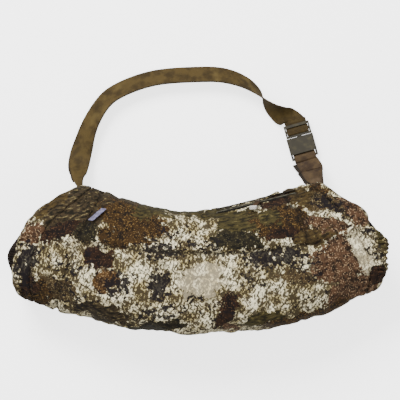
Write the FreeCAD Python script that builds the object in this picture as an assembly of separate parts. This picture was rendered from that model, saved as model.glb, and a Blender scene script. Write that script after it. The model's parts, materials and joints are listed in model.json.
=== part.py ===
import FreeCAD, Part

import math
import os
from FreeCAD import Vector

# Hand warmer muff, millimetres. The muff lies on its back panel on the plane z = 0, with its front
# up (+Z), its hand tunnel along X and its waist belt laid out on the same plane behind the top edge
# (+Y). The origin is the middle of the whole object's footprint.

# Padded tube
STATIONS = (  # x, y of the lower edge, y of the upper edge, height
    (-222, -103, 17, 90),
    (-190, -117, 17, 93),
    (-156, -130, 16, 98),
    (-125, -138.5, 14, 104),
    (-90, -148.5, 4, 109),
    (-50, -152.8, -7, 112),
    (-5, -154.8, -12, 113),
    (35, -153.8, -7, 112),
    (75, -150.7, 4, 110),
    (115, -142, 15.5, 105),
    (150, -130.5, 19, 99),
    (185, -112, 19, 93),
    (222, -92, 19, 90),
)
SEAM_Z = 42.0  # height of the widest line, where the front panels meet the back panel
FLAT_SHARE = 0.5  # share of the half width that lies flat on its back
BACK_TRIM = 0.3  # the outer surface goes this far under z = 0 and is cut there, to a plane face
DOME_POWER = 2.4  # fullness of the front's cross-section; 2 is an ellipse
SHELL = 1.2
WADDING = 13.3
LINER = 2.5
KNIT = 3.0
KNIT_DEPTH = 42.0  # how far the knit cuffs reach into the tunnel
KNIT_LIP = 3.0  # how far they stand out of the mouths
ELASTIC_DEPTH = 5.0  # of the elastic's outer face below the cuff band's
ELASTIC_THICK = 2.0
LABEL_THICK = 0.8

# Lines on the front, seen from above, from the top edge to the bottom edge
LEFT_MOUTH = (
    (-112, 40), (-129, 18), (-156.5, 4), (-175, -9), (-193, -29),
    (-203.5, -46), (-210.5, -66), (-209, -90), (-203, -112), (-190, -145),
)
LEFT_CUFF_SEAM = (
    (-104, 40), (-121, 17), (-141, 0), (-158, -14), (-170, -26),
    (-181, -42), (-190, -64), (-194, -86), (-193, -108), (-184, -145),
)
RIGHT_MOUTH = (
    (118, 40), (138, 20), (157, 3), (176, -8), (194, -29),
    (205, -43), (210.5, -60), (209, -82), (203, -104), (190, -140),
)
RIGHT_CUFF_SEAM = (
    (106, 40), (126, 20), (146, 3), (163, -12), (177, -29),
    (187, -45), (193.5, -62), (196, -82), (194, -104), (184, -140),
)
LEFT_PANEL_SEAM = (
    (-108, 40), (-113, 0), (-125, -24), (-136, -43), (-145, -68), (-155, -92), (-168, -150),
)
POCKET_END_SEAM = ((84, 40), (99, 0), (116, -18), (121, -34), (122, -62))
CROSS_SEAM = (
    (-175, -44), (-112, -52), (-21, -60), (40, -60), (81, -57), (123, -51), (171, -41), (215, -32),
)
LABEL_CORNERS = ((-125.4, -23.1), (-110, -9.8), (-104.4, -10.5), (-119.8, -24.6))

# Pocket zip in the top edge: its frame has x along the zip, y down to the back, z out of the fabric
ZIP_CENTRE = Vector(65, -2.4, 70)
ZIP_TURN = 13.75
ZIP_LEAN = 20.0
ZIP_HALF = 45.0
STOP = 2.0
SLOT_HALF = 4.0
TAPE_HALF = 12.0
TAPE_TOP = -2.5
TAPE_THICK = 1.0
COIL_GAP = 0.5
COIL_HALF = 2.2
COIL_TOP = -1.8
COIL_BOTTOM = -4.1
CHANNEL_HALF = 5.0
CHANNEL_DEPTH = 9.0
SLIDER_AT = 2.0
SLIDER_LENGTH = 9.0
SLIDER_HALF = 3.5
SLIDER_TOP = -0.2
SLIDER_BOTTOM = -5.6
SLIDER_CLEAR = 0.35
BAIL_Z = 1.6
BAIL_R = 0.6
BAIL_HALF = 2.5
EYE_R = 0.68
EYE_OUTER_R = 1.35
PULL_REACH = 7.0
PULL_HALF = 1.8
PULL_THICK = 1.0
TAB_TURN = 155.0  # from the zip's y, so the tab lies on the front, towards the zip's left end
TAB_LENGTH = 18.0
TAB_HALF = 3.2
TAB_THICK = 1.4
CRIMP_LENGTH = 5.0
CRIMP_WALL = 0.6

# Zip pocket bag under the front, four walls sewn shut but for the zip
BAG_OUTER = 3.6  # depth of its front layer below the shell's surface
BAG_INNER = 7.6
BAG_CLOTH = 1.0
BAG_CORNERS = ((20, -68), (110, -62), (110, 30), (20, 30))
BAG_LOW_Z = 66.0

# Waist belt of flat webbing
WEBBING = 25.4
WEBBING_THICK = 1.6
DOUBLED_THICK = 2.8
SHORT_WRAP_REACH = 3.3  # of the loop past the female half's bar
# Centre lines: x, y, z and the lean of the width in degrees, 0 is flat and 90 stands on edge.
# Both sides of the belt fold on the line along X at y 31, z 24, between a tab and its webbing.
LEFT_TAB_PATH = (
    (-131, 6, 42, 90), (-133, 14, 41, 86), (-136, 20.5, 36.5, 48), (-139, 25.6, 30.2, 10),
    (-139, 29.6, 25.4, 0),
)
RIGHT_TAB_PATH = (
    (131.5, 6, 43, 90), (131.5, 14.5, 42, 86), (131.3, 20.8, 37, 48), (131, 25.6, 30.2, 10),
    (131, 29.6, 25.4, 0),
)
BELT_PATH = (
    (-139, 32.4, 22.5, 0), (-139, 40, 15, 4), (-137.4, 51, 9.5, 16), (-134, 64, 9.2, 27),
    (-130, 77.5, 9.4, 36), (-124, 92, 9.9, 42), (-116, 106, 10.1, 45), (-105, 118.5, 10.1, 45),
    (-90, 128, 10.1, 45), (-72, 135.6, 10.1, 45), (-52, 140.8, 10.1, 45), (-30, 143.8, 10.1, 45),
    (-5, 145.2, 10.1, 45), (19, 145, 10.1, 46), (38, 141.8, 10.4, 50), (54, 135.5, 11.5, 58),
    (66, 126.5, 12.9, 70), (73.6, 118, 13.9, 88),
)
BELT_END_PATH = (  # goes on from the last point above, at the half twist
    (79, 111.5, 13.5, 112), (86, 104.5, 11, 138), (94.5, 98, 7.6, 158), (103.2, 95.2, 4.0, 180),
    (111.3, 92.8, 3.45, 180),
)
SHORT_PATH = ((131, 32.5, 22.4, 0), (131, 35.5, 18.6, 0), (128.4, 39.8, 12, 0))

# Buckle: its frame has x from the male half's end bar to the female half's end bar, z up
BUCKLE_TOP = Vector(113, 86.8, 6)
BUCKLE_TURN = -74.3
MALE_HALF = 15.0
MALE_RAIL = 1.8
MALE_END = -1.5
END_BAR = (-1.5, 1.5)
END_BAR_HALF_THICK = 1.3
MIDDLE_BAR = (4.3, 8.1)
MIDDLE_BAR_HALF_THICK = 0.9
MALE_BASE = (10.9, 13.4)
MALE_BASE_HALF_THICK = 3.4
GUIDE_END = 29.0
GUIDE_HALF = 2.5
GUIDE_HALF_THICK = 2.6
PRONG_START = 14.0
PRONG_END = 30.0
PRONG_INNER = 8.2
PRONG_OUTER = 12.3
PADDLE = (15.6, 26.0)
PADDLE_OUTER = 15.2
PRONG_HALF_THICK = 2.8
RIB_PITCH = 1.7
RIB_DEPTH = 0.5
FEMALE_START = 13.8
FEMALE_END = 33.0
FEMALE_HALF = 15.6
FEMALE_HALF_THICK = 5.2
CAVITY_HALF = 12.8
CAVITY_END = 31.0
CAVITY_HALF_THICK = 3.3
WINDOW_END = 27.0
LOOP_BAR = (36.9, 39.9)
LOOP_ARM = 2.2
LOOP_HALF_THICK = 1.5
WRAP_THICK = 1.5
WRAP_IN = -5.0
TAIL_IN = -2.0
EDGE_ROUND = 1.0

Z_LOW = -30.0
Z_HIGH = 160.0
Y_LOW = -190.0
PARTS = "parts"


def smooth_edge(points, even=False):
    """An edge through the points, with the same knots on every section when even is true."""
    curve = Part.BSplineCurve()
    if even:
        last = len(points) - 1
        curve.interpolate(Points=points, Parameters=[i / last for i in range(last + 1)])
    else:
        curve.interpolate(Points=points)
    return curve.toShape()


def section(station, depth):
    """Closed wire of the tube's cross-section, depth millimetres inside the shell's surface."""
    x, low, high, height = station
    middle = (low + high) / 2
    half = (high - low) / 2 - depth
    flat = FLAT_SHARE * (high - low) / 2
    floor_z = depth or -BACK_TRIM
    dome = height - depth - SEAM_Z
    steps = 12
    top = []
    for i in range(steps + 1):
        turn = math.pi * i / steps
        run = math.copysign(abs(math.cos(turn)) ** (2 / DOME_POWER), math.cos(turn))
        rise = abs(math.sin(turn)) ** (2 / DOME_POWER)
        top.append(Vector(x, middle + half * run, SEAM_Z + dome * rise))
    top[0] = Vector(x, middle + half, SEAM_Z)
    top[-1] = Vector(x, middle - half, SEAM_Z)
    corner = []
    for i in range(5):
        turn = math.pi / 2 * i / 4
        out = flat + (half - flat) * math.cos(turn)
        corner.append((out, SEAM_Z - (SEAM_Z - floor_z) * math.sin(turn)))
    left = [Vector(x, middle - out, z) for out, z in corner]
    right = [Vector(x, middle + out, z) for out, z in reversed(corner)]
    floor = Part.makeLine(left[-1], right[0])
    return Part.Wire([smooth_edge(top, True), smooth_edge(left, True), floor, smooth_edge(right, True)])


def tube(depth):
    """Solid inside the surface that lies depth millimetres below the shell's surface."""
    loft = Part.makeLoft([section(s, depth) for s in STATIONS], True, False)
    return loft if depth else loft.common(block(-300, 300, Y_LOW, 60, 0, Z_HIGH))


def layer(outer, inner):
    """One layer of the tube between two depths."""
    return tube(outer).cut(tube(inner))


def line_edge(points):
    """Seam line seen from above, as a smooth edge at the low level."""
    return smooth_edge([Vector(x, y, Z_LOW) for x, y in points])


def upright(edges):
    """Upright prism over a closed chain of edges."""
    face = Part.Face(Part.Wire(edges))
    return face.extrude(Vector(0, 0, Z_HIGH - Z_LOW))


def chain(corners):
    """Straight edges through corners given as x, y."""
    points = [Vector(x, y, Z_LOW) for x, y in corners]
    return [Part.makeLine(a, b) for a, b in zip(points, points[1:])]


def between(left, right):
    """Prism between two lines that both run from the top edge to the bottom edge."""
    bottom = chain((left[-1], (left[-1][0], Y_LOW), (right[-1][0], Y_LOW), right[-1]))
    top = chain((right[0], left[0]))
    return upright([line_edge(left)] + bottom + [line_edge(right)] + top)


def below(seam):
    """Prism under a seam line that runs from left to right."""
    first, last = seam[0], seam[-1]
    sides = chain((last, (last[0], Y_LOW), (first[0], Y_LOW), first))
    return upright([line_edge(seam)] + sides)


def outline(corners):
    """Prism over straight-sided corners."""
    return upright(chain(tuple(corners) + (corners[0],)))


def shifted(points, dx):
    return tuple((x + dx, y) for x, y in points)


def block(x0, x1, y0, y1, z0, z1):
    return Part.makeBox(x1 - x0, y1 - y0, z1 - z0, Vector(x0, y0, z0))


def upper_half():
    return block(-300, 300, Y_LOW, 60, SEAM_Z, Z_HIGH)


def lower_half():
    return block(-300, 300, Y_LOW, 60, Z_LOW, SEAM_Z)


def placed(shape, origin, turn, lean=0.0):
    """Shape moved from a local frame whose x is turned about Z, then leaned about its own x."""
    out = shape.copy()
    placement = FreeCAD.Placement(origin, FreeCAD.Rotation(Vector(0, 0, 1), turn))
    tipped = placement.multiply(FreeCAD.Placement(Vector(), FreeCAD.Rotation(Vector(1, 0, 0), lean)))
    out.Placement = tipped.multiply(shape.Placement)
    return out


def on_zip(shape):
    """Zip frame: lean turns the local z from straight up to nearly level, facing the top edge."""
    return placed(shape, ZIP_CENTRE, ZIP_TURN, ZIP_LEAN - 90)


def on_buckle(shape):
    return placed(shape, BUCKLE_TOP, BUCKLE_TURN)


# Muff body


def zip_slot():
    return on_zip(block(-ZIP_HALF - STOP - 1, ZIP_HALF + STOP + 1, -SLOT_HALF, SLOT_HALF, -12, 6))


def zip_bed():
    """Room for the tapes and for the slider's lower plate under the shell."""
    end = ZIP_HALF + STOP + 1
    bed = block(-end, end, -TAPE_HALF, TAPE_HALF, TAPE_TOP - TAPE_THICK, 6)
    channel = block(-end, end, -CHANNEL_HALF, CHANNEL_HALF, -CHANNEL_DEPTH, 6)
    return on_zip(bed.fuse(channel))


def shell_panels():
    """The printed shell: four front panels and the back panel, all inside the cuff seams."""
    shell = layer(0, SHELL).common(between(LEFT_CUFF_SEAM, RIGHT_CUFF_SEAM))
    front = shell.common(upper_half()).cut(zip_slot())
    back = shell.common(lower_half())
    centre = front.common(between(LEFT_PANEL_SEAM, RIGHT_CUFF_SEAM))
    upper = centre.cut(below(CROSS_SEAM))
    yoke_side = outline(((-200, Y_LOW), (84, Y_LOW), (84, 40), (-200, 40))).fuse(
        upright(
            chain(((84, 40), (84, Y_LOW), (POCKET_END_SEAM[-1][0], Y_LOW), POCKET_END_SEAM[-1]))
            + [line_edge(POCKET_END_SEAM)]
        )
    )
    return {
        "front_left_panel": front.common(between(LEFT_CUFF_SEAM, LEFT_PANEL_SEAM)),
        "front_lower_panel": centre.common(below(CROSS_SEAM)),
        "front_yoke": upper.common(yoke_side),
        "front_right_yoke": upper.cut(yoke_side),
        "back_panel": back,
    }


def pocket_space(outer, inner, inset):
    (x0, y0), (x1, y1) = BAG_CORNERS[0], BAG_CORNERS[1]
    top = BAG_CORNERS[2][1]
    plan = outline(((x0 + inset, y0 + inset), (x1 - inset, y1 + inset), (x1 - inset, top), (x0 + inset, top)))
    return layer(outer, inner).common(plan).common(block(-10, 140, -90, 40, BAG_LOW_Z, Z_HIGH))


def pocket_bag():
    """Flat bag of lining cloth, open along the zip's channel."""
    bag = pocket_space(BAG_OUTER, BAG_INNER, 0)
    hollow = pocket_space(BAG_OUTER + BAG_CLOTH, BAG_INNER - BAG_CLOTH, BAG_CLOTH + 0.5)
    return bag.cut(hollow).cut(zip_bed())


def wadding():
    """Insulation under the shell, in two halves, with the bag's and the zip's room cut out."""
    fill = layer(SHELL, SHELL + WADDING).common(between(LEFT_CUFF_SEAM, RIGHT_CUFF_SEAM))
    front = fill.common(upper_half()).cut(pocket_space(BAG_OUTER, BAG_INNER, 0)).cut(zip_bed())
    return {"wadding_front": front, "wadding_back": fill.common(lower_half())}


def fleece_liner():
    depth = SHELL + WADDING
    return layer(depth, depth + LINER).common(between(LEFT_MOUTH, RIGHT_MOUTH))


def cuffs():
    """Gathered cuff bands with their elastic, and the ribbed knit cuffs inside the mouths."""
    band_space = layer(0, SHELL + WADDING)
    elastic_space = layer(ELASTIC_DEPTH, ELASTIC_DEPTH + ELASTIC_THICK)
    knit_depth = SHELL + WADDING + LINER
    knit_space = layer(knit_depth, knit_depth + KNIT)
    out = {}
    for side, mouth, seam, inward in (
        ("left", LEFT_MOUTH, LEFT_CUFF_SEAM, 1),
        ("right", RIGHT_MOUTH, RIGHT_CUFF_SEAM, -1),
    ):
        edges = {1: (mouth, seam), -1: (seam, mouth)}[inward]
        band = band_space.common(between(*edges))
        strip = sorted((shifted(mouth, 3 * inward), shifted(mouth, 8 * inward)))
        elastic = elastic_space.common(between(*strip))
        knit = sorted((shifted(mouth, -KNIT_LIP * inward), shifted(mouth, KNIT_DEPTH * inward)))
        out[side + "_cuff_band"] = band.cut(elastic)
        out[side + "_cuff_elastic"] = elastic.common(band)
        out[side + "_knit_cuff"] = knit_space.common(between(*knit))
    return out


def side_label():
    return layer(-LABEL_THICK, 0).common(outline(LABEL_CORNERS)).common(upper_half())


# Zip


def zip_tapes():
    tapes = {}
    for name, side in (("zip_tape_front", -1), ("zip_tape_back", 1)):
        y0, y1 = sorted((side * COIL_HALF, side * TAPE_HALF))
        tape = block(-ZIP_HALF - STOP, ZIP_HALF + STOP, y0, y1, TAPE_TOP - TAPE_THICK, TAPE_TOP)
        tapes[name] = on_zip(tape).common(tube(SHELL))
    return tapes


def zip_coils():
    coils = {}
    for name, side in (("zip_coil_front", -1), ("zip_coil_back", 1)):
        y0, y1 = sorted((side * COIL_GAP, side * COIL_HALF))
        coils[name] = on_zip(block(-ZIP_HALF, ZIP_HALF, y0, y1, COIL_BOTTOM, COIL_TOP))
    return coils


def zip_stops():
    ends = [
        block(x, x + STOP, -COIL_HALF, COIL_HALF, COIL_BOTTOM, COIL_TOP)
        for x in (-ZIP_HALF - STOP, ZIP_HALF)
    ]
    return on_zip(Part.makeCompound(ends))


def zip_slider():
    """Upper and lower plates joined by a post between the coils, with a bail bar on top."""
    x0 = SLIDER_AT - SLIDER_LENGTH / 2
    x1 = SLIDER_AT + SLIDER_LENGTH / 2
    body = block(x0, x1, -SLIDER_HALF, SLIDER_HALF, SLIDER_BOTTOM, SLIDER_TOP)
    inner = COIL_HALF + SLIDER_CLEAR
    lane = block(x0, x1, -inner, inner, COIL_BOTTOM - SLIDER_CLEAR, COIL_TOP + SLIDER_CLEAR)
    slit = block(x0, x1, -SLIDER_HALF, SLIDER_HALF, TAPE_TOP - TAPE_THICK - 0.5, TAPE_TOP + 0.5)
    post = block(x1 - 4, x1, -0.2, 0.2, SLIDER_BOTTOM, SLIDER_TOP)
    body = body.cut(lane).cut(slit).fuse(post)
    for x in (SLIDER_AT - BAIL_HALF - 1, SLIDER_AT + BAIL_HALF):
        body = body.fuse(block(x, x + 1, -0.8, 0.8, SLIDER_TOP, BAIL_Z + BAIL_R))
    bar = Part.makeCylinder(
        BAIL_R, 2 * BAIL_HALF, Vector(SLIDER_AT - BAIL_HALF, 0, BAIL_Z), Vector(1, 0, 0)
    )
    return on_zip(body.fuse(bar))


def zip_pull():
    """Metal tongue whose eye turns on the bail bar."""
    length = 2 * (BAIL_HALF - 0.3)
    start = Vector(SLIDER_AT - length / 2, 0, BAIL_Z)
    eye = Part.makeCylinder(EYE_OUTER_R, length, start, Vector(1, 0, 0))
    hole = Part.makeCylinder(EYE_R, length, start, Vector(1, 0, 0))
    tongue = block(
        SLIDER_AT - PULL_HALF, SLIDER_AT + PULL_HALF, -PULL_REACH, -EYE_R - 0.2,
        BAIL_Z - PULL_THICK / 2, BAIL_Z + PULL_THICK / 2,
    )
    return on_zip(eye.fuse(tongue).cut(hole))


def on_tab(shape):
    """Webbing tab's frame: y along the tab from the tongue's end, x across it."""
    return on_zip(placed(shape, Vector(SLIDER_AT, 1.5 - PULL_REACH, BAIL_Z), TAB_TURN))


def pull_webbing_tab():
    tab = block(-TAB_HALF, TAB_HALF, 0, TAB_LENGTH, -TAB_THICK / 2, TAB_THICK / 2)
    return on_tab(tab).cut(zip_pull())


def pull_tab_crimp():
    """Pale end piece folded over the tab's last millimetres."""
    y0 = TAB_LENGTH - CRIMP_LENGTH + 1
    half = TAB_HALF + CRIMP_WALL
    thick = TAB_THICK / 2 + CRIMP_WALL
    return on_tab(block(-half, half, y0, TAB_LENGTH + 1, -thick, thick)).cut(pull_webbing_tab())


# Belt


def ribbon_sections(path, thick):
    """Cross-sections of flat webbing along a path of x, y, z and lean."""
    points = [Vector(*p[:3]) for p in path]
    wires = []
    for i, (point, step) in enumerate(zip(points, path)):
        ahead = points[min(i + 1, len(points) - 1)]
        behind = points[max(i - 1, 0)]
        along = (ahead - behind).normalize()
        level = Vector(along.y, -along.x, 0).normalize()
        rise = level.cross(along).normalize()
        lean = math.radians(step[3])
        wires.append(strip_section(point, along, level * math.cos(lean) + rise * math.sin(lean), thick))
    return wires


def strip_section(point, along, across, thick):
    out = across.cross(along).normalize()
    w = across * (WEBBING / 2)
    t = out * (thick / 2)
    corners = [point + w + t, point - w + t, point - w - t, point + w - t]
    return Part.makePolygon(corners + [corners[0]])


def ribbon(path, thick):
    return Part.makeLoft(ribbon_sections(path, thick), True, False)


def belt_tabs():
    """Webbing stubs sewn into the top corners; they twist from on edge to flat."""
    body = tube(0)
    return {
        "left_belt_tab": ribbon(LEFT_TAB_PATH, WEBBING_THICK).cut(body),
        "right_belt_tab": ribbon(RIGHT_TAB_PATH, WEBBING_THICK).cut(body),
    }


def buckle_direction(turn):
    angle = math.radians(BUCKLE_TURN + turn)
    return Vector(math.cos(angle), math.sin(angle), 0)


def long_belt():
    """The long webbing up to its half twist, and from there to the male half's end bar."""
    sections = ribbon_sections(BELT_PATH + BELT_END_PATH, WEBBING_THICK)
    for i, skew in ((-2, 20), (-1, 0)):
        point = Vector(*BELT_END_PATH[i][:3])
        sections[i] = strip_section(point, buckle_direction(0), buckle_direction(90 + skew), WRAP_THICK)
    split = len(BELT_PATH)
    return {
        "belt_webbing": Part.makeLoft(sections[:split], True, False),
        "belt_webbing_end": Part.makeLoft(sections[split - 1 :], True, False),
    }


def buckle_webbing_wrap():
    """The long strap's end, over the male half's middle bar and back under itself."""
    w = WEBBING / 2
    t = WRAP_THICK
    low = -3.3
    first = MIDDLE_BAR[0] - 0.5 - t
    second = MIDDLE_BAR[1] + 0.5
    top = MIDDLE_BAR_HALF_THICK + 0.4
    pieces = [
        block(WRAP_IN, first + t, -w, w, low, low + t),
        block(first, first + t, -w, w, low, top + t),
        block(first, second + t, -w, w, top, top + t),
        block(second, second + t, -w, w, low - t - 0.2, top + t),
        block(TAIL_IN, second + t, -w, w, low - t - 0.2, low - 0.2),
    ]
    return on_buckle(pieces[0].multiFuse(pieces[1:]).removeSplitter())


def buckle_male():
    """Ladder-lock frame with two bars, the base of the prongs and the centre guide."""
    rails = [
        block(MALE_END, MALE_BASE[0], y, y + MALE_RAIL, -MALE_RAIL, MALE_RAIL)
        for y in (-MALE_HALF, MALE_HALF - MALE_RAIL)
    ]
    inner = MALE_HALF - MALE_RAIL / 2
    end_bar = block(*END_BAR, -inner, inner, -END_BAR_HALF_THICK, END_BAR_HALF_THICK)
    middle = block(*MIDDLE_BAR, -inner, inner, -MIDDLE_BAR_HALF_THICK, MIDDLE_BAR_HALF_THICK)
    base = block(*MALE_BASE, -MALE_HALF, MALE_HALF, -MALE_BASE_HALF_THICK, MALE_BASE_HALF_THICK)
    guide = block(
        MALE_BASE[0], GUIDE_END, -GUIDE_HALF, GUIDE_HALF, -GUIDE_HALF_THICK, GUIDE_HALF_THICK
    )
    return on_buckle(rails[0].multiFuse([rails[1], end_bar, middle, base, guide]).removeSplitter())


def buckle_prong(side):
    """Spring prong with a ribbed paddle; side is 1 or -1."""
    y0, y1 = sorted((side * PRONG_INNER, side * PRONG_OUTER))
    arm = block(PRONG_START, PRONG_END, y0, y1, -PRONG_HALF_THICK, PRONG_HALF_THICK)
    y0, y1 = sorted((side * (PRONG_OUTER - 1), side * PADDLE_OUTER))
    paddle = block(*PADDLE, y0, y1, -PRONG_HALF_THICK, PRONG_HALF_THICK)
    prong = arm.fuse(paddle)
    for i in range(int((PADDLE[1] - PADDLE[0]) / RIB_PITCH)):
        x = PADDLE[0] + 0.6 + i * RIB_PITCH
        y0, y1 = sorted((side * (PADDLE_OUTER - RIB_DEPTH), side * (PADDLE_OUTER + 1)))
        prong = prong.cut(block(x, x + RIB_PITCH / 2, y0, y1, -4, 4))
    return on_buckle(prong.removeSplitter())


def buckle_female():
    """Socket with open sides for the paddles, and the loop for the short webbing."""
    body = block(
        FEMALE_START, FEMALE_END, -FEMALE_HALF, FEMALE_HALF, -FEMALE_HALF_THICK, FEMALE_HALF_THICK
    )
    body = body.makeFillet(EDGE_ROUND, [e for e in body.Edges if along_x(e)])
    cavity = block(
        FEMALE_START, CAVITY_END, -CAVITY_HALF, CAVITY_HALF, -CAVITY_HALF_THICK, CAVITY_HALF_THICK
    )
    windows = block(
        FEMALE_START, WINDOW_END, -FEMALE_HALF, FEMALE_HALF, -CAVITY_HALF_THICK, CAVITY_HALF_THICK
    )
    body = body.cut(cavity).cut(windows)
    for y in (-FEMALE_HALF, FEMALE_HALF - LOOP_ARM):
        body = body.fuse(
            block(FEMALE_END - 1, LOOP_BAR[1], y, y + LOOP_ARM, -LOOP_HALF_THICK, LOOP_HALF_THICK)
        )
    bar = block(*LOOP_BAR, -FEMALE_HALF, FEMALE_HALF, -LOOP_HALF_THICK, LOOP_HALF_THICK)
    return on_buckle(body.fuse(bar).removeSplitter())


def along_x(edge):
    a, b = edge.Vertexes[0].Point, edge.Vertexes[-1].Point
    return abs(a.x - b.x) > 1


def short_belt():
    """Doubled webbing from the right tab to the female half, and its loop round the bar."""
    w = WEBBING / 2
    t = WRAP_THICK
    inside = LOOP_BAR[0] - 1.0
    top = LOOP_HALF_THICK + 0.3
    tail = LOOP_BAR[1] + SHORT_WRAP_REACH
    pieces = [
        block(inside - t, inside, -w, w, -top - t, top + t),
        block(inside - t, tail, -w, w, top, top + t),
        block(inside - t, tail, -w, w, -top - t, -top),
        block(LOOP_BAR[1] + 0.5, tail, -w, w, -top - t, top + t),
    ]
    wrap = on_buckle(pieces[0].multiFuse(pieces[1:]).removeSplitter())
    end = BUCKLE_TOP + buckle_direction(0) * tail
    sections = ribbon_sections(SHORT_PATH + ((end.x, end.y, end.z, 0),), DOUBLED_THICK)
    sections[-1] = strip_section(end, buckle_direction(180), buckle_direction(90), DOUBLED_THICK)
    return {"short_webbing": Part.makeLoft(sections, True, False), "short_webbing_loop": wrap}


def all_nodes():
    nodes = {}
    nodes.update(shell_panels())
    nodes.update(wadding())
    nodes["fleece_liner"] = fleece_liner()
    nodes.update(cuffs())
    nodes["side_label"] = side_label()
    nodes["pocket_bag"] = pocket_bag()
    nodes.update(zip_tapes())
    nodes.update(zip_coils())
    nodes["zip_stops"] = zip_stops()
    nodes["zip_slider"] = zip_slider()
    nodes["zip_pull"] = zip_pull()
    nodes["pull_webbing_tab"] = pull_webbing_tab()
    nodes["pull_tab_crimp"] = pull_tab_crimp()
    nodes.update(belt_tabs())
    nodes.update(long_belt())
    nodes["buckle_webbing_wrap"] = buckle_webbing_wrap()
    nodes.update(short_belt())
    nodes["buckle_male"] = buckle_male()
    nodes["buckle_left_prong"] = buckle_prong(-1)
    nodes["buckle_right_prong"] = buckle_prong(1)
    nodes["buckle_female"] = buckle_female()
    return nodes


def main():
    os.makedirs(PARTS, exist_ok=True)
    nodes = all_nodes()
    for name, shape in nodes.items():
        box = shape.BoundBox
        print(
            f"{name:22s} solids {len(shape.Solids)} volume {shape.Volume:9.1f} valid {shape.isValid()}"
            f" x {box.XMin:7.1f} {box.XMax:7.1f} y {box.YMin:7.1f} {box.YMax:7.1f}"
            f" z {box.ZMin:6.1f} {box.ZMax:6.1f}"
        )
        shape.exportStep(f"{PARTS}/{name}.step")
    whole = Part.makeCompound(list(nodes.values())).BoundBox
    print("whole", whole)


main()
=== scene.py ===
"""Hand warmer muff with a webbing waist belt: the looks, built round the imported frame."""

import json
import logging
import math
from dataclasses import dataclass, field
from enum import Enum
from typing import Callable, Iterable, Sequence

import bmesh
import bpy
import numpy as np
from mathutils import Matrix, Vector, noise
from mathutils.bvhtree import BVHTree

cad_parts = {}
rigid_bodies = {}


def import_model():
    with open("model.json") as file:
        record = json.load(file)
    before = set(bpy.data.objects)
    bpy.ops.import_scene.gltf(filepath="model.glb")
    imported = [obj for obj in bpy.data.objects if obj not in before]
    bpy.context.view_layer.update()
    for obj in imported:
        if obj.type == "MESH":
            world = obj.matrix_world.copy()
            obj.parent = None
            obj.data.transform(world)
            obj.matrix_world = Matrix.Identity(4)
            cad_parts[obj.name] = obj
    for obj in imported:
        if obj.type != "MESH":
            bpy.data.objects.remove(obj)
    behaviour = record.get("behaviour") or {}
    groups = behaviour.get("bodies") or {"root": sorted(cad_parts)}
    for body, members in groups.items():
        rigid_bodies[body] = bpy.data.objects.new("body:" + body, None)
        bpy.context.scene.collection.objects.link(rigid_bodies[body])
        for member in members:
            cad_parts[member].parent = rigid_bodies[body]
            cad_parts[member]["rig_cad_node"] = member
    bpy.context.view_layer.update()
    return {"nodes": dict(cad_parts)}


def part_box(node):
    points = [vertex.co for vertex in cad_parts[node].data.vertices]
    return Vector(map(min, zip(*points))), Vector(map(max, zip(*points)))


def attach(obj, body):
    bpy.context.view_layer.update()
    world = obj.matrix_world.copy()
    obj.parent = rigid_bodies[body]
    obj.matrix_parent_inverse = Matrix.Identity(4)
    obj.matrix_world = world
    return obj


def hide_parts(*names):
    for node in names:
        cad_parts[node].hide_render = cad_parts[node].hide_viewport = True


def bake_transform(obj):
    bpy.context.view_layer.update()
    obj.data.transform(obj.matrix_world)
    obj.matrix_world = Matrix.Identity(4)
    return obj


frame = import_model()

MM = 0.001
MELD = 1e-5
LOG = logging.getLogger("muff")
Array = np.ndarray
Mesh = bmesh.types.BMesh
Piece = bpy.types.Object
Material = bpy.types.Material
Pair = tuple[float, float]
Station = tuple[float, float, float, float]


# Plain curves


def smooth_between(keys: Sequence[float], values: Sequence[float], at: Array) -> Array:
    """Smooth line through key and value pairs.

    Args:
        keys: rising positions.
        values: value at each key.
        at: positions to read.

    Returns:
        The line's value at each position.
    """
    key, value = np.asarray(keys, float), np.asarray(values, float)
    slope = np.gradient(value, key)
    i = np.clip(np.searchsorted(key, at) - 1, 0, len(key) - 2)
    step = key[i + 1] - key[i]
    t = np.clip((at - key[i]) / step, -0.5, 1.5)
    a, b = (1 + 2 * t) * (1 - t) ** 2, t * (1 - t) ** 2
    c, d = t * t * (3 - 2 * t), t * t * (t - 1)
    return a * value[i] + b * step * slope[i] + c * value[i + 1] + d * step * slope[i + 1]


def rise(low: float, high: float, at: Array) -> Array:
    """Soft step from 0 at low to 1 at high."""
    t = np.clip((at - low) / (high - low), 0, 1)
    return t * t * (3 - 2 * t)


def hump(at: Array, width: float) -> Array:
    """Bell of height 1 at 0."""
    return np.exp(-((at / width) ** 2))


def grain(points: Array, wave: float, seed: float) -> Array:
    """Smooth random value from about -1 to 1 at each point.

    Args:
        points: positions in millimetres.
        wave: size of one wave in millimetres.
        seed: shifts the pattern.

    Returns:
        One value for each point.
    """
    shift = Vector((seed * 13.7, seed * 7.1, seed * 3.3))
    return np.array([noise.noise(Vector(p) / wave + shift) for p in points])


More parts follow.
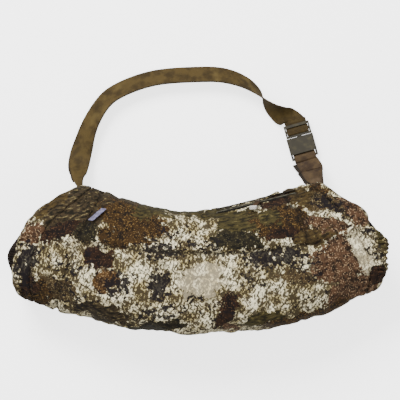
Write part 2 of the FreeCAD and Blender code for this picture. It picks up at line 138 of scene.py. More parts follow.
@dataclass(frozen=True)
class PlanLine:
    """Seam line seen from above, in millimetres, that runs one way along x or y."""

    points: tuple[Pair, ...]

    def x_at(self, y: Array) -> Array:
        """Place along x where the line has that y."""
        line = self.points[::-1]
        return smooth_between([p[1] for p in line], [p[0] for p in line], y)

    def y_at(self, x: Array) -> Array:
        """Place along y where the line has that x."""
        return smooth_between([p[0] for p in self.points], [p[1] for p in self.points], x)

    def sampled(self, step: float) -> Array:
        """Points along the line, about step millimetres apart."""
        chord = np.array(self.points, float)
        run = np.concatenate([[0], np.cumsum(np.linalg.norm(np.diff(chord, axis=0), axis=1))])
        at = np.linspace(0, run[-1], max(3, int(run[-1] / step)))
        return np.stack([smooth_between(run, chord[:, i], at) for i in (0, 1)], axis=1)

    def near(self, plan: Array) -> tuple[Array, Array]:
        """How far plan points are from the line.

        Args:
            plan: points as x and y.

        Returns:
            The distance to the line and the length along it, for each point.
        """
        line = self.sampled(1.5)
        far, along = np.full(len(plan), 1e9), np.zeros(len(plan))
        for i, point in enumerate(line):
            gap = np.hypot(plan[:, 0] - point[0], plan[:, 1] - point[1])
            closer = gap < far
            far[closer], along[closer] = gap[closer], i * 1.5
        return far, along


LEFT_MOUTH = PlanLine(
    ((-112, 40), (-129, 18), (-156.5, 4), (-175, -9), (-193, -29), (-203.5, -46), (-210.5, -66),
     (-209, -90), (-203, -112), (-190, -145))
)
LEFT_CUFF_SEAM = PlanLine(
    ((-104, 40), (-121, 17), (-141, 0), (-158, -14), (-170, -26), (-181, -42), (-190, -64),
     (-194, -86), (-193, -108), (-184, -145))
)
RIGHT_MOUTH = PlanLine(
    ((118, 40), (138, 20), (157, 3), (176, -8), (194, -29), (205, -43), (210.5, -60), (209, -82),
     (203, -104), (190, -140))
)
RIGHT_CUFF_SEAM = PlanLine(
    ((106, 40), (126, 20), (146, 3), (163, -12), (177, -29), (187, -45), (193.5, -62), (196, -82),
     (194, -104), (184, -140))
)
LEFT_PANEL_SEAM = PlanLine(
    ((-108, 40), (-113, 0), (-125, -24), (-136, -43), (-145, -68), (-155, -92), (-168, -150))
)
POCKET_END_SEAM = PlanLine(((84, 40), (99, 0), (116, -18), (121, -34), (122, -62)))
CROSS_SEAM = PlanLine(
    ((-175, -44), (-112, -52), (-21, -60), (40, -60), (81, -57), (123, -51), (171, -41),
     (215, -32))
)
SHORT_PLEAT = PlanLine(((150.6, -71.9), (155, -84), (159.9, -98.3)))
LONG_PLEAT = PlanLine(((167.9, -55.8), (174, -63), (181.7, -71.9)))


@dataclass(frozen=True)
class MuffForm:
    """The padded tube's outside: its size along X and the shape of its cross-section."""

    stations: tuple[Station, ...] = (
        (-222, -103, 17, 90), (-190, -117, 17, 93), (-156, -130, 16, 98), (-125, -138.5, 14, 104),
        (-90, -148.5, 4, 109), (-50, -152.8, -7, 112), (-5, -154.8, -12, 113),
        (35, -153.8, -7, 112), (75, -150.7, 4, 110), (115, -142, 15.5, 105),
        (150, -130.5, 19, 99), (185, -112, 19, 93), (222, -92, 19, 90),
    )
    seam_z: float = 42.0
    flat_share: float = 0.5
    dome_power: float = 2.4

    def sizes(self, x: Array) -> list[Array]:
        """Lower edge, upper edge and height at each place along the tube."""
        keys = [s[0] for s in self.stations]
        return [smooth_between(keys, [s[i] for s in self.stations], x) for i in (1, 2, 3)]

    def raw(self, x: Array, turn: Array, depth: Array) -> Array:
        """Points on the surface.

        Args:
            x: place along the tube.
            turn: 0 to 1 over the front from the top edge, 1 to 4 back under the tube.
            depth: depth under the outside.

        Returns:
            One x, y, z row for each point, in millimetres.
        """
        low, high, tall = self.sizes(x)
        middle, half = (low + high) / 2, (high - low) / 2 - depth
        flat = self.flat_share * (high - low) / 2
        angle = np.pi * np.clip(turn, 0, 1)
        power = 2 / self.dome_power
        run = np.sign(np.cos(angle)) * np.abs(np.cos(angle)) ** power
        lift = np.abs(np.sin(angle)) ** power
        down = np.pi / 2 * np.where(turn < 2.5, np.clip(turn - 1, 0, 1), np.clip(4 - turn, 0, 1))
        out = flat + (half - flat) * np.cos(down)
        side = np.where(turn < 2, -1.0, np.where(turn > 3, 1.0, 2 * (turn - 2) - 1))
        front = turn <= 1
        y = np.where(front, middle + half * run, middle + side * out)
        under = self.seam_z - (self.seam_z - depth) * np.sin(down)
        z = np.where(front, self.seam_z + (tall - depth - self.seam_z) * lift, under)
        return np.stack([x, y, z], axis=1)

    def even_turn(self, loop: Array) -> Array:
        """Turn for a share of the way round, so that shares are evenly spaced."""
        turn = np.linspace(0, 4, 1601)
        ring = self.raw(np.full(1601, -5.0), turn, np.zeros(1601))
        run = np.concatenate([[0], np.cumsum(np.linalg.norm(np.diff(ring, axis=0), axis=1))])
        return np.interp(loop * run[-1], run, turn)

    def between(
        self, left: PlanLine, right: PlanLine, share: Array, loop: Array,
        depth: Array, push: Array | float = 0.0,
    ) -> Array:
        """Points between two lines that cross the tube.

        Args:
            left: line where share is 0.
            right: line where share is 1.
            share: way from the left line to the right one.
            loop: share of the way round the tube.
            depth: depth under the outside.
            push: added to x.

        Returns:
            One x, y, z row for each point, in millimetres.
        """
        turn = self.even_turn(loop)
        x = left.x_at(np.full(len(share), -60.0)) * (1 - share) + 190 * share
        for _ in range(16):
            y = self.raw(x, turn, depth)[:, 1]
            start, end = left.x_at(y), right.x_at(y)
            x = start + share * (end - start) + push
        return self.raw(x, turn, depth)


FORM = MuffForm()


# Mesh helpers


def grid(columns: int, rows: int) -> tuple[Mesh, Array]:
    """Flat grid to be laid on a surface.

    Args:
        columns: cells along the first share.
        rows: cells along the second share.

    Returns:
        The mesh, and each vertex's two shares from 0 to 1.
    """
    bm = bmesh.new()
    bmesh.ops.create_grid(bm, x_segments=columns, y_segments=rows, size=1.0)
    bm.verts.ensure_lookup_table()
    shares = np.array([[(v.co.x + 1) / 2, (v.co.y + 1) / 2] for v in bm.verts])
    uv = bm.loops.layers.uv.new("UVMap")
    for face in bm.faces:
        for loop in face.loops:
            loop[uv].uv = ((loop.vert.co.x + 1) / 2, (loop.vert.co.y + 1) / 2)
    return bm, shares


def move_to(bm: Mesh, points: Array) -> None:
    """Puts each vertex at its point, given in millimetres."""
    bm.verts.ensure_lookup_table()
    for vert, point in zip(bm.verts, points):
        vert.co = Vector(point) * MM


def open_loops(bm: Mesh) -> list[bmesh.types.BMEdge]:
    """Edges with a face on one side only."""
    return [e for e in bm.edges if e.is_boundary]


def sew(bm: Mesh, points: Array, both_ends: bool = False) -> None:
    """Puts vertices in place and joins those that meet, and the two open ends if asked."""
    move_to(bm, points)
    bmesh.ops.remove_doubles(bm, verts=bm.verts[:], dist=MELD)
    if both_ends:
        bmesh.ops.bridge_loops(bm, edges=open_loops(bm))


def as_object(bm: Mesh, name: str, outward: bool = True) -> Piece:
    """Finished mesh as an object at the origin.

    Args:
        bm: the mesh, which is freed.
        name: the piece's name.
        outward: work out the faces' directions.

    Returns:
        The new object.
    """
    if outward:
        bmesh.ops.recalc_face_normals(bm, faces=bm.faces[:])
    mesh = bpy.data.meshes.new(name)
    bm.to_mesh(mesh)
    bm.free()
    mesh.polygons.foreach_set("use_smooth", [True] * len(mesh.polygons))
    obj = bpy.data.objects.new(name, mesh)
    bpy.context.scene.collection.objects.link(obj)
    return obj


def settle(obj: Piece) -> Piece:
    """Makes an object's modifiers part of its mesh."""
    graph = bpy.context.evaluated_depsgraph_get()
    mesh = bpy.data.meshes.new_from_object(obj.evaluated_get(graph), depsgraph=graph)
    obj.modifiers.clear()
    old, obj.data = obj.data, mesh
    mesh.name = obj.name
    bpy.data.meshes.remove(old)
    return obj


def soften(obj: Piece, levels: int) -> Piece:
    """Subdivides a piece and keeps the result."""
    finish = obj.modifiers.new("soften", "SUBSURF")
    finish.levels = finish.render_levels = levels
    return settle(obj)


def thicken(obj: Piece, thick: float) -> Piece:
    """Gives a sheet its thickness, half on each side, and keeps the result."""
    wall = obj.modifiers.new("thicken", "SOLIDIFY")
    wall.thickness, wall.offset = thick * MM, 0.0
    settle(obj)
    obj.data.set_sharp_from_angle(angle=math.radians(45))
    return obj


def spots(obj: Piece) -> tuple[Array, Array]:
    """Vertices and their outward directions, the first in millimetres."""
    count = len(obj.data.vertices)
    at, out = np.zeros(count * 3), np.zeros(count * 3)
    obj.data.vertices.foreach_get("co", at)
    obj.data.vertex_normals.foreach_get("vector", out)
    return at.reshape(-1, 3) / MM, out.reshape(-1, 3)


def lay(obj: Piece, points: Array) -> None:
    """Writes vertices back, given in millimetres."""
    obj.data.vertices.foreach_set("co", (points * MM).ravel())
    obj.data.update()


# Shader maths


def paint(code: str) -> tuple[float, float, float, float]:
    """Colour from six hex digits, as light values."""
    parts = [int(code[i : i + 2], 16) / 255 for i in (0, 2, 4)]
    r, g, b = (c / 12.92 if c <= 0.04045 else ((c + 0.055) / 1.055) ** 2.4 for c in parts)
    return (r, g, b, 1.0)


class Signal:
    """A number that changes over the surface; arithmetic on it adds Math nodes."""

    def __init__(self, dye: "Dye", socket: bpy.types.NodeSocket) -> None:
        """Wraps one output socket of a material's nodes."""
        self.dye = dye
        self.socket = socket

    def _math(self, operation: str, a: "Signal | float", b: "Signal | float") -> "Signal":
        """Joins two values with one Math node."""
        return self.dye.node("Math", {"operation": operation}, {0: a, 1: b})

    def __add__(self, other: "Signal | float") -> "Signal":
        """Sum."""
        return self._math("ADD", self, other)

    __radd__ = __add__

    def __mul__(self, other: "Signal | float") -> "Signal":
        """Product."""
        return self._math("MULTIPLY", self, other)

    __rmul__ = __mul__

    def __sub__(self, other: "Signal | float") -> "Signal":
        """Difference."""
        return self._math("SUBTRACT", self, other)

    def __rsub__(self, other: "Signal | float") -> "Signal":
        """Difference from a plain number."""
        return self._math("SUBTRACT", other, self)

    def top(self, other: "Signal | float") -> "Signal":
        """The larger of two."""
        return self._math("MAXIMUM", self, other)

    def wave(self) -> "Signal":
        """Sine of the value."""
        return self._math("SINE", self, 0.0)

    def step(self, start: "Signal | float", end: "Signal | float") -> "Signal":
        """Soft step from 0 at start to 1 at end."""
        settings = {"interpolation_type": "SMOOTHSTEP"}
        feeds = {"Value": self, "From Min": start, "From Max": end}
        return self.dye.node("MapRange", settings, feeds)


class Dye:
    """A material under construction."""

    def __init__(self, name: str, roughness: float = 0.85, metal: float = 0.0) -> None:
        """Starts a material with one surface shader."""
        self.material = bpy.data.materials.new(name)
        self.material.use_nodes = True
        self.tree = self.material.node_tree
        self.shader = self.tree.nodes["Principled BSDF"]
        self.shader.inputs["Roughness"].default_value = roughness
        self.shader.inputs["Metallic"].default_value = metal

    def node(
        self, kind: str, settings: dict | None = None, feeds: dict | None = None, out: int = 0
    ) -> Signal:
        """Adds a node.

        Args:
            kind: node type without its ShaderNode prefix.
            settings: properties set first.
            feeds: socket name or number to a value or a signal.
            out: number of the output that is wanted.

        Returns:
            That output.
        """
        made = self.tree.nodes.new("ShaderNode" + kind)
        for key, value in (settings or {}).items():
            setattr(made, key, value)
        for key, value in (feeds or {}).items():
            if isinstance(value, Signal):
                self.tree.links.new(value.socket, made.inputs[key])
            else:
                made.inputs[key].default_value = value
        return Signal(self, made.outputs[out])

    def place(self) -> Signal:
        """Position on the object."""
        return self.node("TexCoord", out=3)

    def uv(self) -> Signal:
        """The piece's own surface coordinates."""
        return self.node("TexCoord", out=2)

    def part(self, vector: Signal, which: int) -> Signal:
        """One of a vector's three numbers."""
        return self.node("SeparateXYZ", None, {0: vector}, out=which)

    def stretch(self, vector: Signal, scale: Sequence[float], turn: float = 0.0) -> Signal:
        """Vector turned about Z, in degrees, then scaled."""
        feeds = {"Vector": vector, "Rotation": (0, 0, math.radians(turn))}
        turned = self.node("Mapping", None, feeds)
        return self.node("VectorMath", {"operation": "MULTIPLY"}, {0: turned, 1: tuple(scale)})

    def cloud(
        self, vector: Signal, wave: float, detail: float = 2.0, rough: float = 0.5
    ) -> Signal:
        """Noise from 0 to 1 with waves of that many millimetres."""
        feeds = {"Vector": vector, "Scale": 1 / (wave * MM), "Detail": detail, "Roughness": rough}
        return self.node("TexNoise", None, feeds)

    def mix(self, share: "Signal | float", a: "Signal | tuple", b: "Signal | tuple") -> Signal:
        """Colour between a, where share is 0, and b, where it is 1."""
        return self.node("Mix", {"data_type": "RGBA"}, {0: share, 6: a, 7: b}, out=2)

    def colour(self, value: "Signal") -> None:
        """Sets the surface's colour."""
        self.tree.links.new(value.socket, self.shader.inputs["Base Color"])

    def roughness(self, value: Signal) -> None:
        """Sets a roughness that changes over the surface."""
        self.tree.links.new(value.socket, self.shader.inputs["Roughness"])

    def relief(self, height: Signal, depth: float, strength: float = 0.6) -> None:
        """Raises the surface's look by height times depth millimetres."""
        feeds = {"Height": height, "Strength": strength, "Distance": depth * MM}
        bump = self.node("Bump", None, feeds)
        self.tree.links.new(bump.socket, self.shader.inputs["Normal"])

    def sheen(self, weight: float, tint: str) -> None:
        """Adds the soft rim light of brushed cloth and dulls its gloss."""
        self.shader.inputs["Specular IOR Level"].default_value = 0.2
        self.shader.inputs["Sheen Weight"].default_value = weight
        self.shader.inputs["Sheen Roughness"].default_value = 0.5
        self.shader.inputs["Sheen Tint"].default_value = paint(tint)


# Printed shell cloth


class Tone(Enum):
    """Fields of the print."""

    CREAM = "cream"
    CHALK = "chalk"
    GRASS = "grass"
    MOSS = "moss"
    TAN = "tan"
    BARK = "bark"
    RUST = "rust"
    UMBER = "umber"
    SHADE = "shade"
    CLAY = "clay"
    STONE = "stone"


@dataclass(frozen=True)
class Patch:
    """Soft oval of one tone, in millimetres, seen from above."""

    tone: Tone
    x: float
    y: float
    half_x: float
    half_y: float
    turn: float = 0.0


@dataclass(frozen=True)
class Ink:
    """Oval where the dark blots gather, in millimetres."""

    x: float
    y: float
    half_x: float
    half_y: float
    turn: float = 0.0
    load: float = 1.0


PATCHES = (
    Patch(Tone.GRASS, -118, -6, 66, 27, 14),
    Patch(Tone.GRASS, -150, -22, 34, 20, 40),
    Patch(Tone.UMBER, -152, -35, 30, 9, 12),
    Patch(Tone.BARK, -74, -22, 40, 21, -16),
    Patch(Tone.SHADE, -126, -38, 15, 12),
    Patch(Tone.BARK, -84, -43, 28, 12, -8),
    Patch(Tone.UMBER, -110, -66, 17, 13),
    Patch(Tone.CLAY, -106, -91, 16, 12, 20),
    Patch(Tone.CREAM, -91, -68, 9, 8),
    Patch(Tone.STONE, -164, -99, 26, 12, -20),
    Patch(Tone.BARK, -187, -108, 20, 18, -20),
    Patch(Tone.UMBER, -195, -96, 9, 14),
    Patch(Tone.RUST, -188, -36, 9, 14, -50),
    Patch(Tone.GRASS, -112, -128, 40, 9, -12),
    Patch(Tone.MOSS, -34, -11, 52, 8, 0),
    Patch(Tone.MOSS, 34, -25, 44, 16, 0),
    Patch(Tone.CREAM, 4, -31, 18, 9, 0),
    # painted shadow: dark patch above the cross seam, the shadow under the upper panel's bulge
    Patch(Tone.SHADE, 44, -47, 30, 11, 0),
    Patch(Tone.BARK, 94, -27, 34, 21, 0),
    Patch(Tone.UMBER, 94, -40, 18, 9, 12),
    Patch(Tone.MOSS, 78, -20, 14, 8, 0),
    Patch(Tone.TAN, 118, 2, 24, 12, -10),
    Patch(Tone.STONE, 150, -6, 24, 13, -24),
    Patch(Tone.CREAM, 150, -19, 25, 6, -14),
    Patch(Tone.RUST, 146, -29, 29, 9, -6),
    Patch(Tone.TAN, 131, -42, 26, 7, 12),
    Patch(Tone.CREAM, 94, -49, 14, 6, 10),
    Patch(Tone.RUST, 157, -72, 29, 29, 0),
    Patch(Tone.STONE, 112, -88, 21, 11, 0),
    Patch(Tone.RUST, 174, -108, 34, 19, 30),
    Patch(Tone.BARK, 160, -124, 34, 10, 20),
    Patch(Tone.CHALK, 186, -62, 11, 30, 26),
    Patch(Tone.CHALK, 2, -92, 26, 20, 10),
    Patch(Tone.UMBER, 29, -126, 11, 22, -32),
    Patch(Tone.RUST, 36, -146, 10, 5, 0),
    Patch(Tone.MOSS, 70, -136, 26, 8, 8),
    Patch(Tone.RUST, 178, -14, 9, 20, 42),
    Patch(Tone.MOSS, 206, -44, 5, 12, 20),
    Patch(Tone.UMBER, 204, -84, 9, 10, 0),
    Patch(Tone.TAN, -166, -4, 26, 7, 40),
    Patch(Tone.UMBER, 88, -2, 20, 6, 12),
    Patch(Tone.BARK, 136, 13, 14, 7, -20),
    Patch(Tone.SHADE, -60, -146, 46, 7, 4),
    Patch(Tone.BARK, 104, -139, 34, 7, 14),
)
INKS = (
    Ink(-92, -94, 16, 20, -20),
    Ink(-42, -58, 34, 13, -4),
    Ink(-44, -96, 15, 22, 0, 1.25),
    Ink(-46, -128, 32, 16, 8, 0.8),
    Ink(-6, -116, 14, 14, 0, 0.75),
    Ink(-121, -70, 8, 18, 0, 0.7),
    Ink(-196, -72, 13, 30, -10, 1.4),
    Ink(-30, -36, 26, 9, 0, 0.7),
    Ink(-150, -76, 30, 18, 0, 0.62),
    Ink(-180, -60, 10, 16, 0, 0.5),
    Ink(-140, -112, 34, 14, -18, 0.55),
    Ink(90, -66, 48, 14, 3, 1.25),
    Ink(60, -90, 26, 10, -20, 0.7),
    Ink(152, -6, 22, 11, -24),
    Ink(128, -84, 20, 12, 0, 0.6),
    Ink(196, -50, 12, 34, 24, 0.6),
    Ink(6, -52, 30, 8, 0, 0.9),
    Ink(22, -128, 30, 16, 0, 0.45),
    Ink(132, -112, 24, 10, 24, 0.5),
)


@dataclass(frozen=True)
class ShellCloth:
    """Brushed knit printed with pale grassy fields, earth browns and dark blots, with painted
    shade in its seams and pleats.
    """

    name: str = "printed_shell_cloth"
    warp: float = 9.0

    def oval(self, dye: Dye, flat: Signal, spot: Patch | Ink) -> Signal:
        """Distance from an oval's middle, 1 at its edge."""
        feeds = {
            "Vector": flat,
            "Location": (spot.x * MM, spot.y * MM, 0),
            "Rotation": (0, 0, math.radians(spot.turn)),
            "Scale": (spot.half_x * MM, spot.half_y * MM, 1.0),
        }
        local = dye.node("Mapping", {"vector_type": "TEXTURE"}, feeds)
        return dye.node("VectorMath", {"operation": "LENGTH"}, {0: local}, out=1)

    def fields(self, dye: Dye, at: Signal) -> dict[Tone, Signal]:
        """One colour for each tone of the print.

        Args:
            dye: the material.
            at: position on the object.

        Returns:
            The colours by tone.
        """
        upright = dye.stretch(at, (1.0, 0.42, 0.6), 24)
        fallen = dye.stretch(at, (0.34, 1.0, 1.0), -12)
        dash = dye.cloud(upright, 2.3, 2.0, 0.6)
        cross = dye.cloud(dye.stretch(at, (0.5, 1.0, 0.7), 48), 2.0, 2.0, 0.6)
        blade = dye.cloud(fallen, 2.8, 3.0, 0.62)
        broad = dye.cloud(at, 17, 2.0)
        speck = dye.cloud(at, 1.7, 1.0)
        warm = dye.mix(broad.step(0.35, 0.65), paint("ebe1bd"), paint("b3a372"))
        thin = (broad - 0.5) * 0.28
        marks = (dash + thin).step(0.455, 0.55).top((cross + thin).step(0.49, 0.58))
        cream = dye.mix(marks * 0.95, warm, paint("2a2012"))
        cream = dye.mix(dye.cloud(at, 8, 3.0).step(0.54, 0.68) * 0.45, cream, paint("332b18"))

        def streaked(dark: str, middle: str, light: str) -> Signal:
            """Tone with long dark and light blades in it."""
            base = dye.mix(blade.step(0.40, 0.52), paint(dark), paint(middle))
            return dye.mix(blade.step(0.58, 0.68) * 0.8, base, paint(light))

        def mottled(dark: str, middle: str, light: str) -> Signal:
            """Tone with soft dark areas and small light flecks."""
            area = dye.cloud(at, 6.5, 3.0, 0.6).step(0.38, 0.58)
            base = dye.mix(area, paint(dark), paint(middle))
            return dye.mix(speck.step(0.585, 0.66) * 0.75, base, paint(light))

        return {
            Tone.CREAM: cream,
            Tone.CHALK: dye.mix(0.24, cream, paint("eee0bc")),
            Tone.GRASS: streaked("141107", "342a1b", "7a6e49"),
            Tone.MOSS: streaked("1b170a", "3a331a", "645935"),
            Tone.TAN: streaked("21190b", "3e3119", "675b35"),
            Tone.BARK: mottled("120b05", "32220d", "70572f"),
            Tone.RUST: mottled("21150c", "4b3524", "9a8163"),
            Tone.UMBER: mottled("0c0605", "23140a", "4f3824"),
            Tone.SHADE: mottled("0b0905", "211c0f", "4a442d"),
            Tone.CLAY: mottled("22160c", "463118", "8a6f4c"),
            Tone.STONE: mottled("21190e", "413420", "837553"),
        }

    def dress(self) -> Material:
        """Makes the material."""
        dye = Dye(self.name, 0.9)
        at = dye.place()
        noisy = {"Vector": at, "Scale": 42.0, "Detail": 5.0, "Roughness": 0.68}
        bend = dye.node("TexNoise", None, noisy, out=1)
        centred = dye.node("VectorMath", {"operation": "SUBTRACT"}, {0: bend, 1: (0.5, 0.5, 0.5)})
        reach = self.warp * 4 * MM
        moved = {0: centred, 1: (reach, reach, 0), 2: at}
        shifted = dye.node("VectorMath", {"operation": "MULTIPLY_ADD"}, moved)
        flat = dye.node("VectorMath", {"operation": "MULTIPLY"}, {0: shifted, 1: (1.0, 1.0, 0.0)})
        fields = self.fields(dye, at)
        low = dye.part(at, 2)
        behind = 1.0 - low.step(0.030, 0.044)
        scatter = dye.cloud(shifted, 34, 3.0)
        back = dye.mix(scatter.step(0.42, 0.45), fields[Tone.BARK], fields[Tone.CREAM])
        back = dye.mix(dye.cloud(shifted, 46, 3.0).step(0.55, 0.58), back, fields[Tone.GRASS])
        colour = fields[Tone.CREAM]
        ragged = (dye.cloud(at, 9, 5.0, 0.7) - 0.5) * 1.5
        for patch in PATCHES:
            edge = 1.0 - (self.oval(dye, flat, patch) + ragged).step(0.95, 1.03)
            colour = dye.mix(edge, colour, fields[patch.tone])
        colour = dye.mix(behind, colour, back)
        load: Signal | float = scatter * 0.0
        for ink in INKS:
            load = load.top((1.0 - self.oval(dye, flat, ink).step(0.35, 1.35)) * ink.load)
        load = load.top(dye.cloud(shifted, 30, 2.0).step(0.58, 0.72) * behind)
        blot = dye.cloud(at, 5.4, 3.0, 0.6)
        edge = 0.67 - load * 0.225
        mark = blot.step(edge, edge + 0.018)
        colour = dye.mix(mark * 0.95, colour, paint("120d10"))
        # painted shade: darkens the cloth in the seam grooves, cuff seams and pleats
        crease_shade = dye.node("Attribute", {"attribute_name": "crease_shade"}, out=2)
        colour = dye.mix(crease_shade * 0.75, colour, paint("17110b"))
        dye.colour(colour)
        nap = dye.cloud(at, 0.7, 2.0) + dye.cloud(at, 3.2, 2.0) * 0.8
        dye.relief(nap, 0.5, 0.5)
        dye.sheen(0.03, "cfc6a6")
        return dye.material


@dataclass(frozen=True)
class MottledCloth:
    """Plain cloth of two shades with a fine nap: fleece, lining, knit, label, tape, thread."""

    name: str
    dark: str
    light: str
    wave: float = 6.0
    nap: float = 0.8
    depth: float = 0.4
    rough: float = 0.92
    shine: float = 0.04

    def dress(self) -> Material:
        """Makes the material."""
        dye = Dye(self.name, self.rough)
        at = dye.place()
        tone = dye.cloud(at, self.wave, 3.0)
        thread = dye.cloud(at, self.nap, 2.0)
        colour = dye.mix(tone.step(0.35, 0.65), paint(self.dark), paint(self.light))
        dye.colour(dye.mix(thread.step(0.45, 0.7) * 0.3, colour, paint(self.dark)))
        dye.relief(thread, self.depth)
        dye.sheen(self.shine, self.light)
        return dye.material


@dataclass(frozen=True)
class Webbing:
    """Woven strap read along its own length: ribs across with painted shade between them, edges
    darker for the selvedge and a painted shadow, faded blotches.
    """

    name: str = "belt_webbing_weave"
    dark: str = "34280e"
    light: str = "4d3e1d"
    pale: str = "63532c"
    rib: float = 1.5

    def dress(self) -> Material:
        """Makes the material."""
        dye = Dye(self.name, 0.72)
        at, uv = dye.place(), dye.uv()
        along, across = dye.part(uv, 0), dye.part(uv, 1)
        slant = (across * 25.4 * 0.9 + dye.cloud(at, 5, 1.0) * 0.5) * (2 * math.pi / 3.4)
        ribs = (along * (2 * math.pi / (self.rib * MM)) + slant.wave() * 1.6).wave() * 0.5 + 0.5
        rows = (across * (2 * math.pi * 22)).wave() * 0.5 + 0.5
        weave = ribs * 0.7 + rows * 0.3
        blotch = dye.cloud(at, 15, 3.0, 0.6)
        colour = dye.mix(blotch.step(0.36, 0.62), paint(self.dark), paint(self.light))
        colour = dye.mix(dye.cloud(at, 26, 2.0).step(0.56, 0.72) * 0.7, colour, paint(self.pale))
        # painted shade: darker in the valleys between the woven ribs
        colour = dye.mix((1.0 - weave) * 0.35, colour, paint("2a2114"))
        # both edges darker: partly the selvedge's own colour, partly a painted shadow along the
        # edges
        selvedge_and_shade = (across - 0.5).top(0.5 - across).step(0.445, 0.485)
        colour = dye.mix(selvedge_and_shade * 0.55, colour, paint("30261a"))
        dye.colour(colour)
        dye.relief(weave, 0.35, 0.7)
        dye.roughness(blotch * 0.15 + 0.66)
        dye.sheen(0.03, self.pale)
        return dye.material


@dataclass(frozen=True)
class MouldedPlastic:
    """Moulded buckle plastic with a fine grain and rubbed patches."""

    name: str = "buckle_plastic"
    base: str = "282313"
    rubbed: str = "3d361c"

    def dress(self) -> Material:
        """Makes the material."""
        dye = Dye(self.name, 0.42)
        at = dye.place()
        wear = dye.cloud(at, 7, 4.0, 0.6)
        fine = dye.cloud(at, 0.5, 2.0)
        colour = dye.mix(wear.step(0.45, 0.72), paint(self.base), paint(self.rubbed))
        dye.colour(dye.mix(fine.step(0.3, 0.7) * 0.15, colour, paint("231f15")))
        dye.roughness(wear * 0.25 + 0.30)
        dye.relief(fine, 0.08, 0.5)
        return dye.material


@dataclass(frozen=True)
class CastMetal:
    """Zip metal with tarnish and small dents."""

    name: str
    bright: str
    dull: str
    rough: float = 0.35

    def dress(self) -> Material:
        """Makes the material."""
        dye = Dye(self.name, self.rough, 0.9)
        at = dye.place()
        tarnish = dye.cloud(at, 2.2, 3.0)
        dye.colour(dye.mix(tarnish.step(0.4, 0.65), paint(self.bright), paint(self.dull)))
        dye.roughness(tarnish * 0.3 + (self.rough - 0.1))
        dye.relief(dye.cloud(at, 0.8, 2.0), 0.06)
        return dye.material


@dataclass(frozen=True)
class StripedCrimp:
    """Pale end piece with fine stripes across it."""

    name: str = "pale_crimp"

    def dress(self) -> Material:
        """Makes the material."""
        dye = Dye(self.name, 0.5)
        at = dye.place()
        slanted = dye.stretch(at, (1.0, 1.0, 1.0), 40)
        stripe = (dye.part(slanted, 0) * (2 * math.pi / (1.5 * MM))).wave()
        worn = dye.cloud(at, 1.5, 2.0)
        colour = dye.mix(stripe.step(0.2, 0.7) * 0.75, paint("ddd8cf"), paint("6f6459"))
        dye.colour(dye.mix(worn.step(0.55, 0.7) * 0.3, colour, paint("8d8376")))
        dye.relief(stripe, 0.2)
        return dye.material


Recipe = ShellCloth | MottledCloth | Webbing | MouldedPlastic | CastMetal | StripedCrimp


def finish(recipe: Recipe) -> Material:
    """Field that holds the material of a recipe, made with the finishes."""
    return field(default_factory=recipe.dress)


@dataclass
class Finishes:
    """Every material of the muff."""

    shell: Material = finish(ShellCloth())
    fleece: Material = finish(
        MottledCloth("tunnel_fleece", "2b2418", "4a3f2c", 5, 1.4, 1.0, 1.0, 0.1)
    )
    knit: Material = finish(MottledCloth("cuff_knit", "17120f", "2a221c", 4, 0.9, 0.6))
    elastic: Material = finish(MottledCloth("cuff_elastic", "2c2822", "4b453b", 3, 0.7))
    lining: Material = finish(MottledCloth("pocket_lining", "24221c", "3b382d", 9, 0.5, 0.2, 0.6))
    label: Material = finish(
        MottledCloth("blank_label_satin", "56536b", "7d7a92", 3, 0.5, 0.15, 0.7)
    )
    tape: Material = finish(MottledCloth("zip_tape_twill", "14110d", "2a241b", 3, 0.6, 0.3))
    coil: Material = finish(
        MottledCloth("zip_coil_nylon", "0f0d0b", "1d1a16", 2, 0.6, 0.1, 0.4, 0.0)
    )
    piping: Material = finish(MottledCloth("zip_piping", "38362e", "575548", 5, 0.6, 0.3))
    thread: Material = finish(MottledCloth("seam_thread", "35291b", "5a4932", 4, 0.5, 0.2))
    webbing: Material = finish(Webbing())
    short_webbing: Material = finish(Webbing("short_webbing_weave", "34271d", "52412b", "6b5944"))
    # darker copy of the webbing: painted shade for the back layers that show beside the straps
    shaded_webbing: Material = finish(Webbing("shaded_strap_weave", "17120d", "2b231a", "3b3125"))
    pull: Material = finish(Webbing("pull_tab_weave", "281a10", "46311d", "574029", 1.0))
    plastic: Material = finish(MouldedPlastic())
    metal: Material = finish(CastMetal("zip_metal", "6b6253", "3a342a"))
    crimp: Material = finish(StripedCrimp())


def dress(obj: Piece, material: Material) -> Piece:
    """Gives a piece its material."""
    obj.data.materials.clear()
    obj.data.materials.append(material)
    "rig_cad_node" not in obj
    LOG.info("%s: %d faces", obj.name, len(obj.data.polygons))
    return obj


# Frames of the zip and the buckle


@dataclass(frozen=True)
class ZipFrame:
    """Local frame of the pocket zip: x along it, y down to the back, z out of the cloth."""

    centre: tuple[float, float, float] = (65.0, -2.4, 70.0)
    turn: float = 13.75
    lean: float = -70.0
    half: float = 45.0

    def matrix(self) -> Matrix:
        """From the zip's frame to the row frame, in millimetres."""
        turned = Matrix.Rotation(math.radians(self.turn), 4, "Z")
        leaned = Matrix.Rotation(math.radians(self.lean), 4, "X")
        return Matrix.Translation(self.centre) @ turned @ leaned

    def local(self, points: Array) -> Array:
        """Row-frame points in the zip's frame."""
        inverse = np.array(self.matrix().inverted())
        return points @ inverse[:3, :3].T + inverse[:3, 3]

    def world(self, points: Array) -> Array:
        """Points of the zip's frame in the row frame."""
        forward = np.array(self.matrix())
        return points @ forward[:3, :3].T + forward[:3, 3]


ZIP = ZipFrame()


@dataclass(frozen=True)
class BuckleFrame:
    """Local frame of the buckle: x from the male end bar to the female end bar, z up."""

    origin: tuple[float, float, float] = (113.0, 86.8, 6.0)
    turn: float = -74.3

    def way(self, extra: float) -> Vector:
        """Level direction, turned from the buckle's length by that many degrees."""
        angle = math.radians(self.turn + extra)
        return Vector((math.cos(angle), math.sin(angle), 0))

    def at(self, x: float, y: float, z: float) -> Vector:
        """Point of the buckle's frame in the row frame."""
        return Vector(self.origin) + self.way(0) * x + self.way(90) * y + Vector((0, 0, z))


BUCKLE = BuckleFrame()


# The padded body


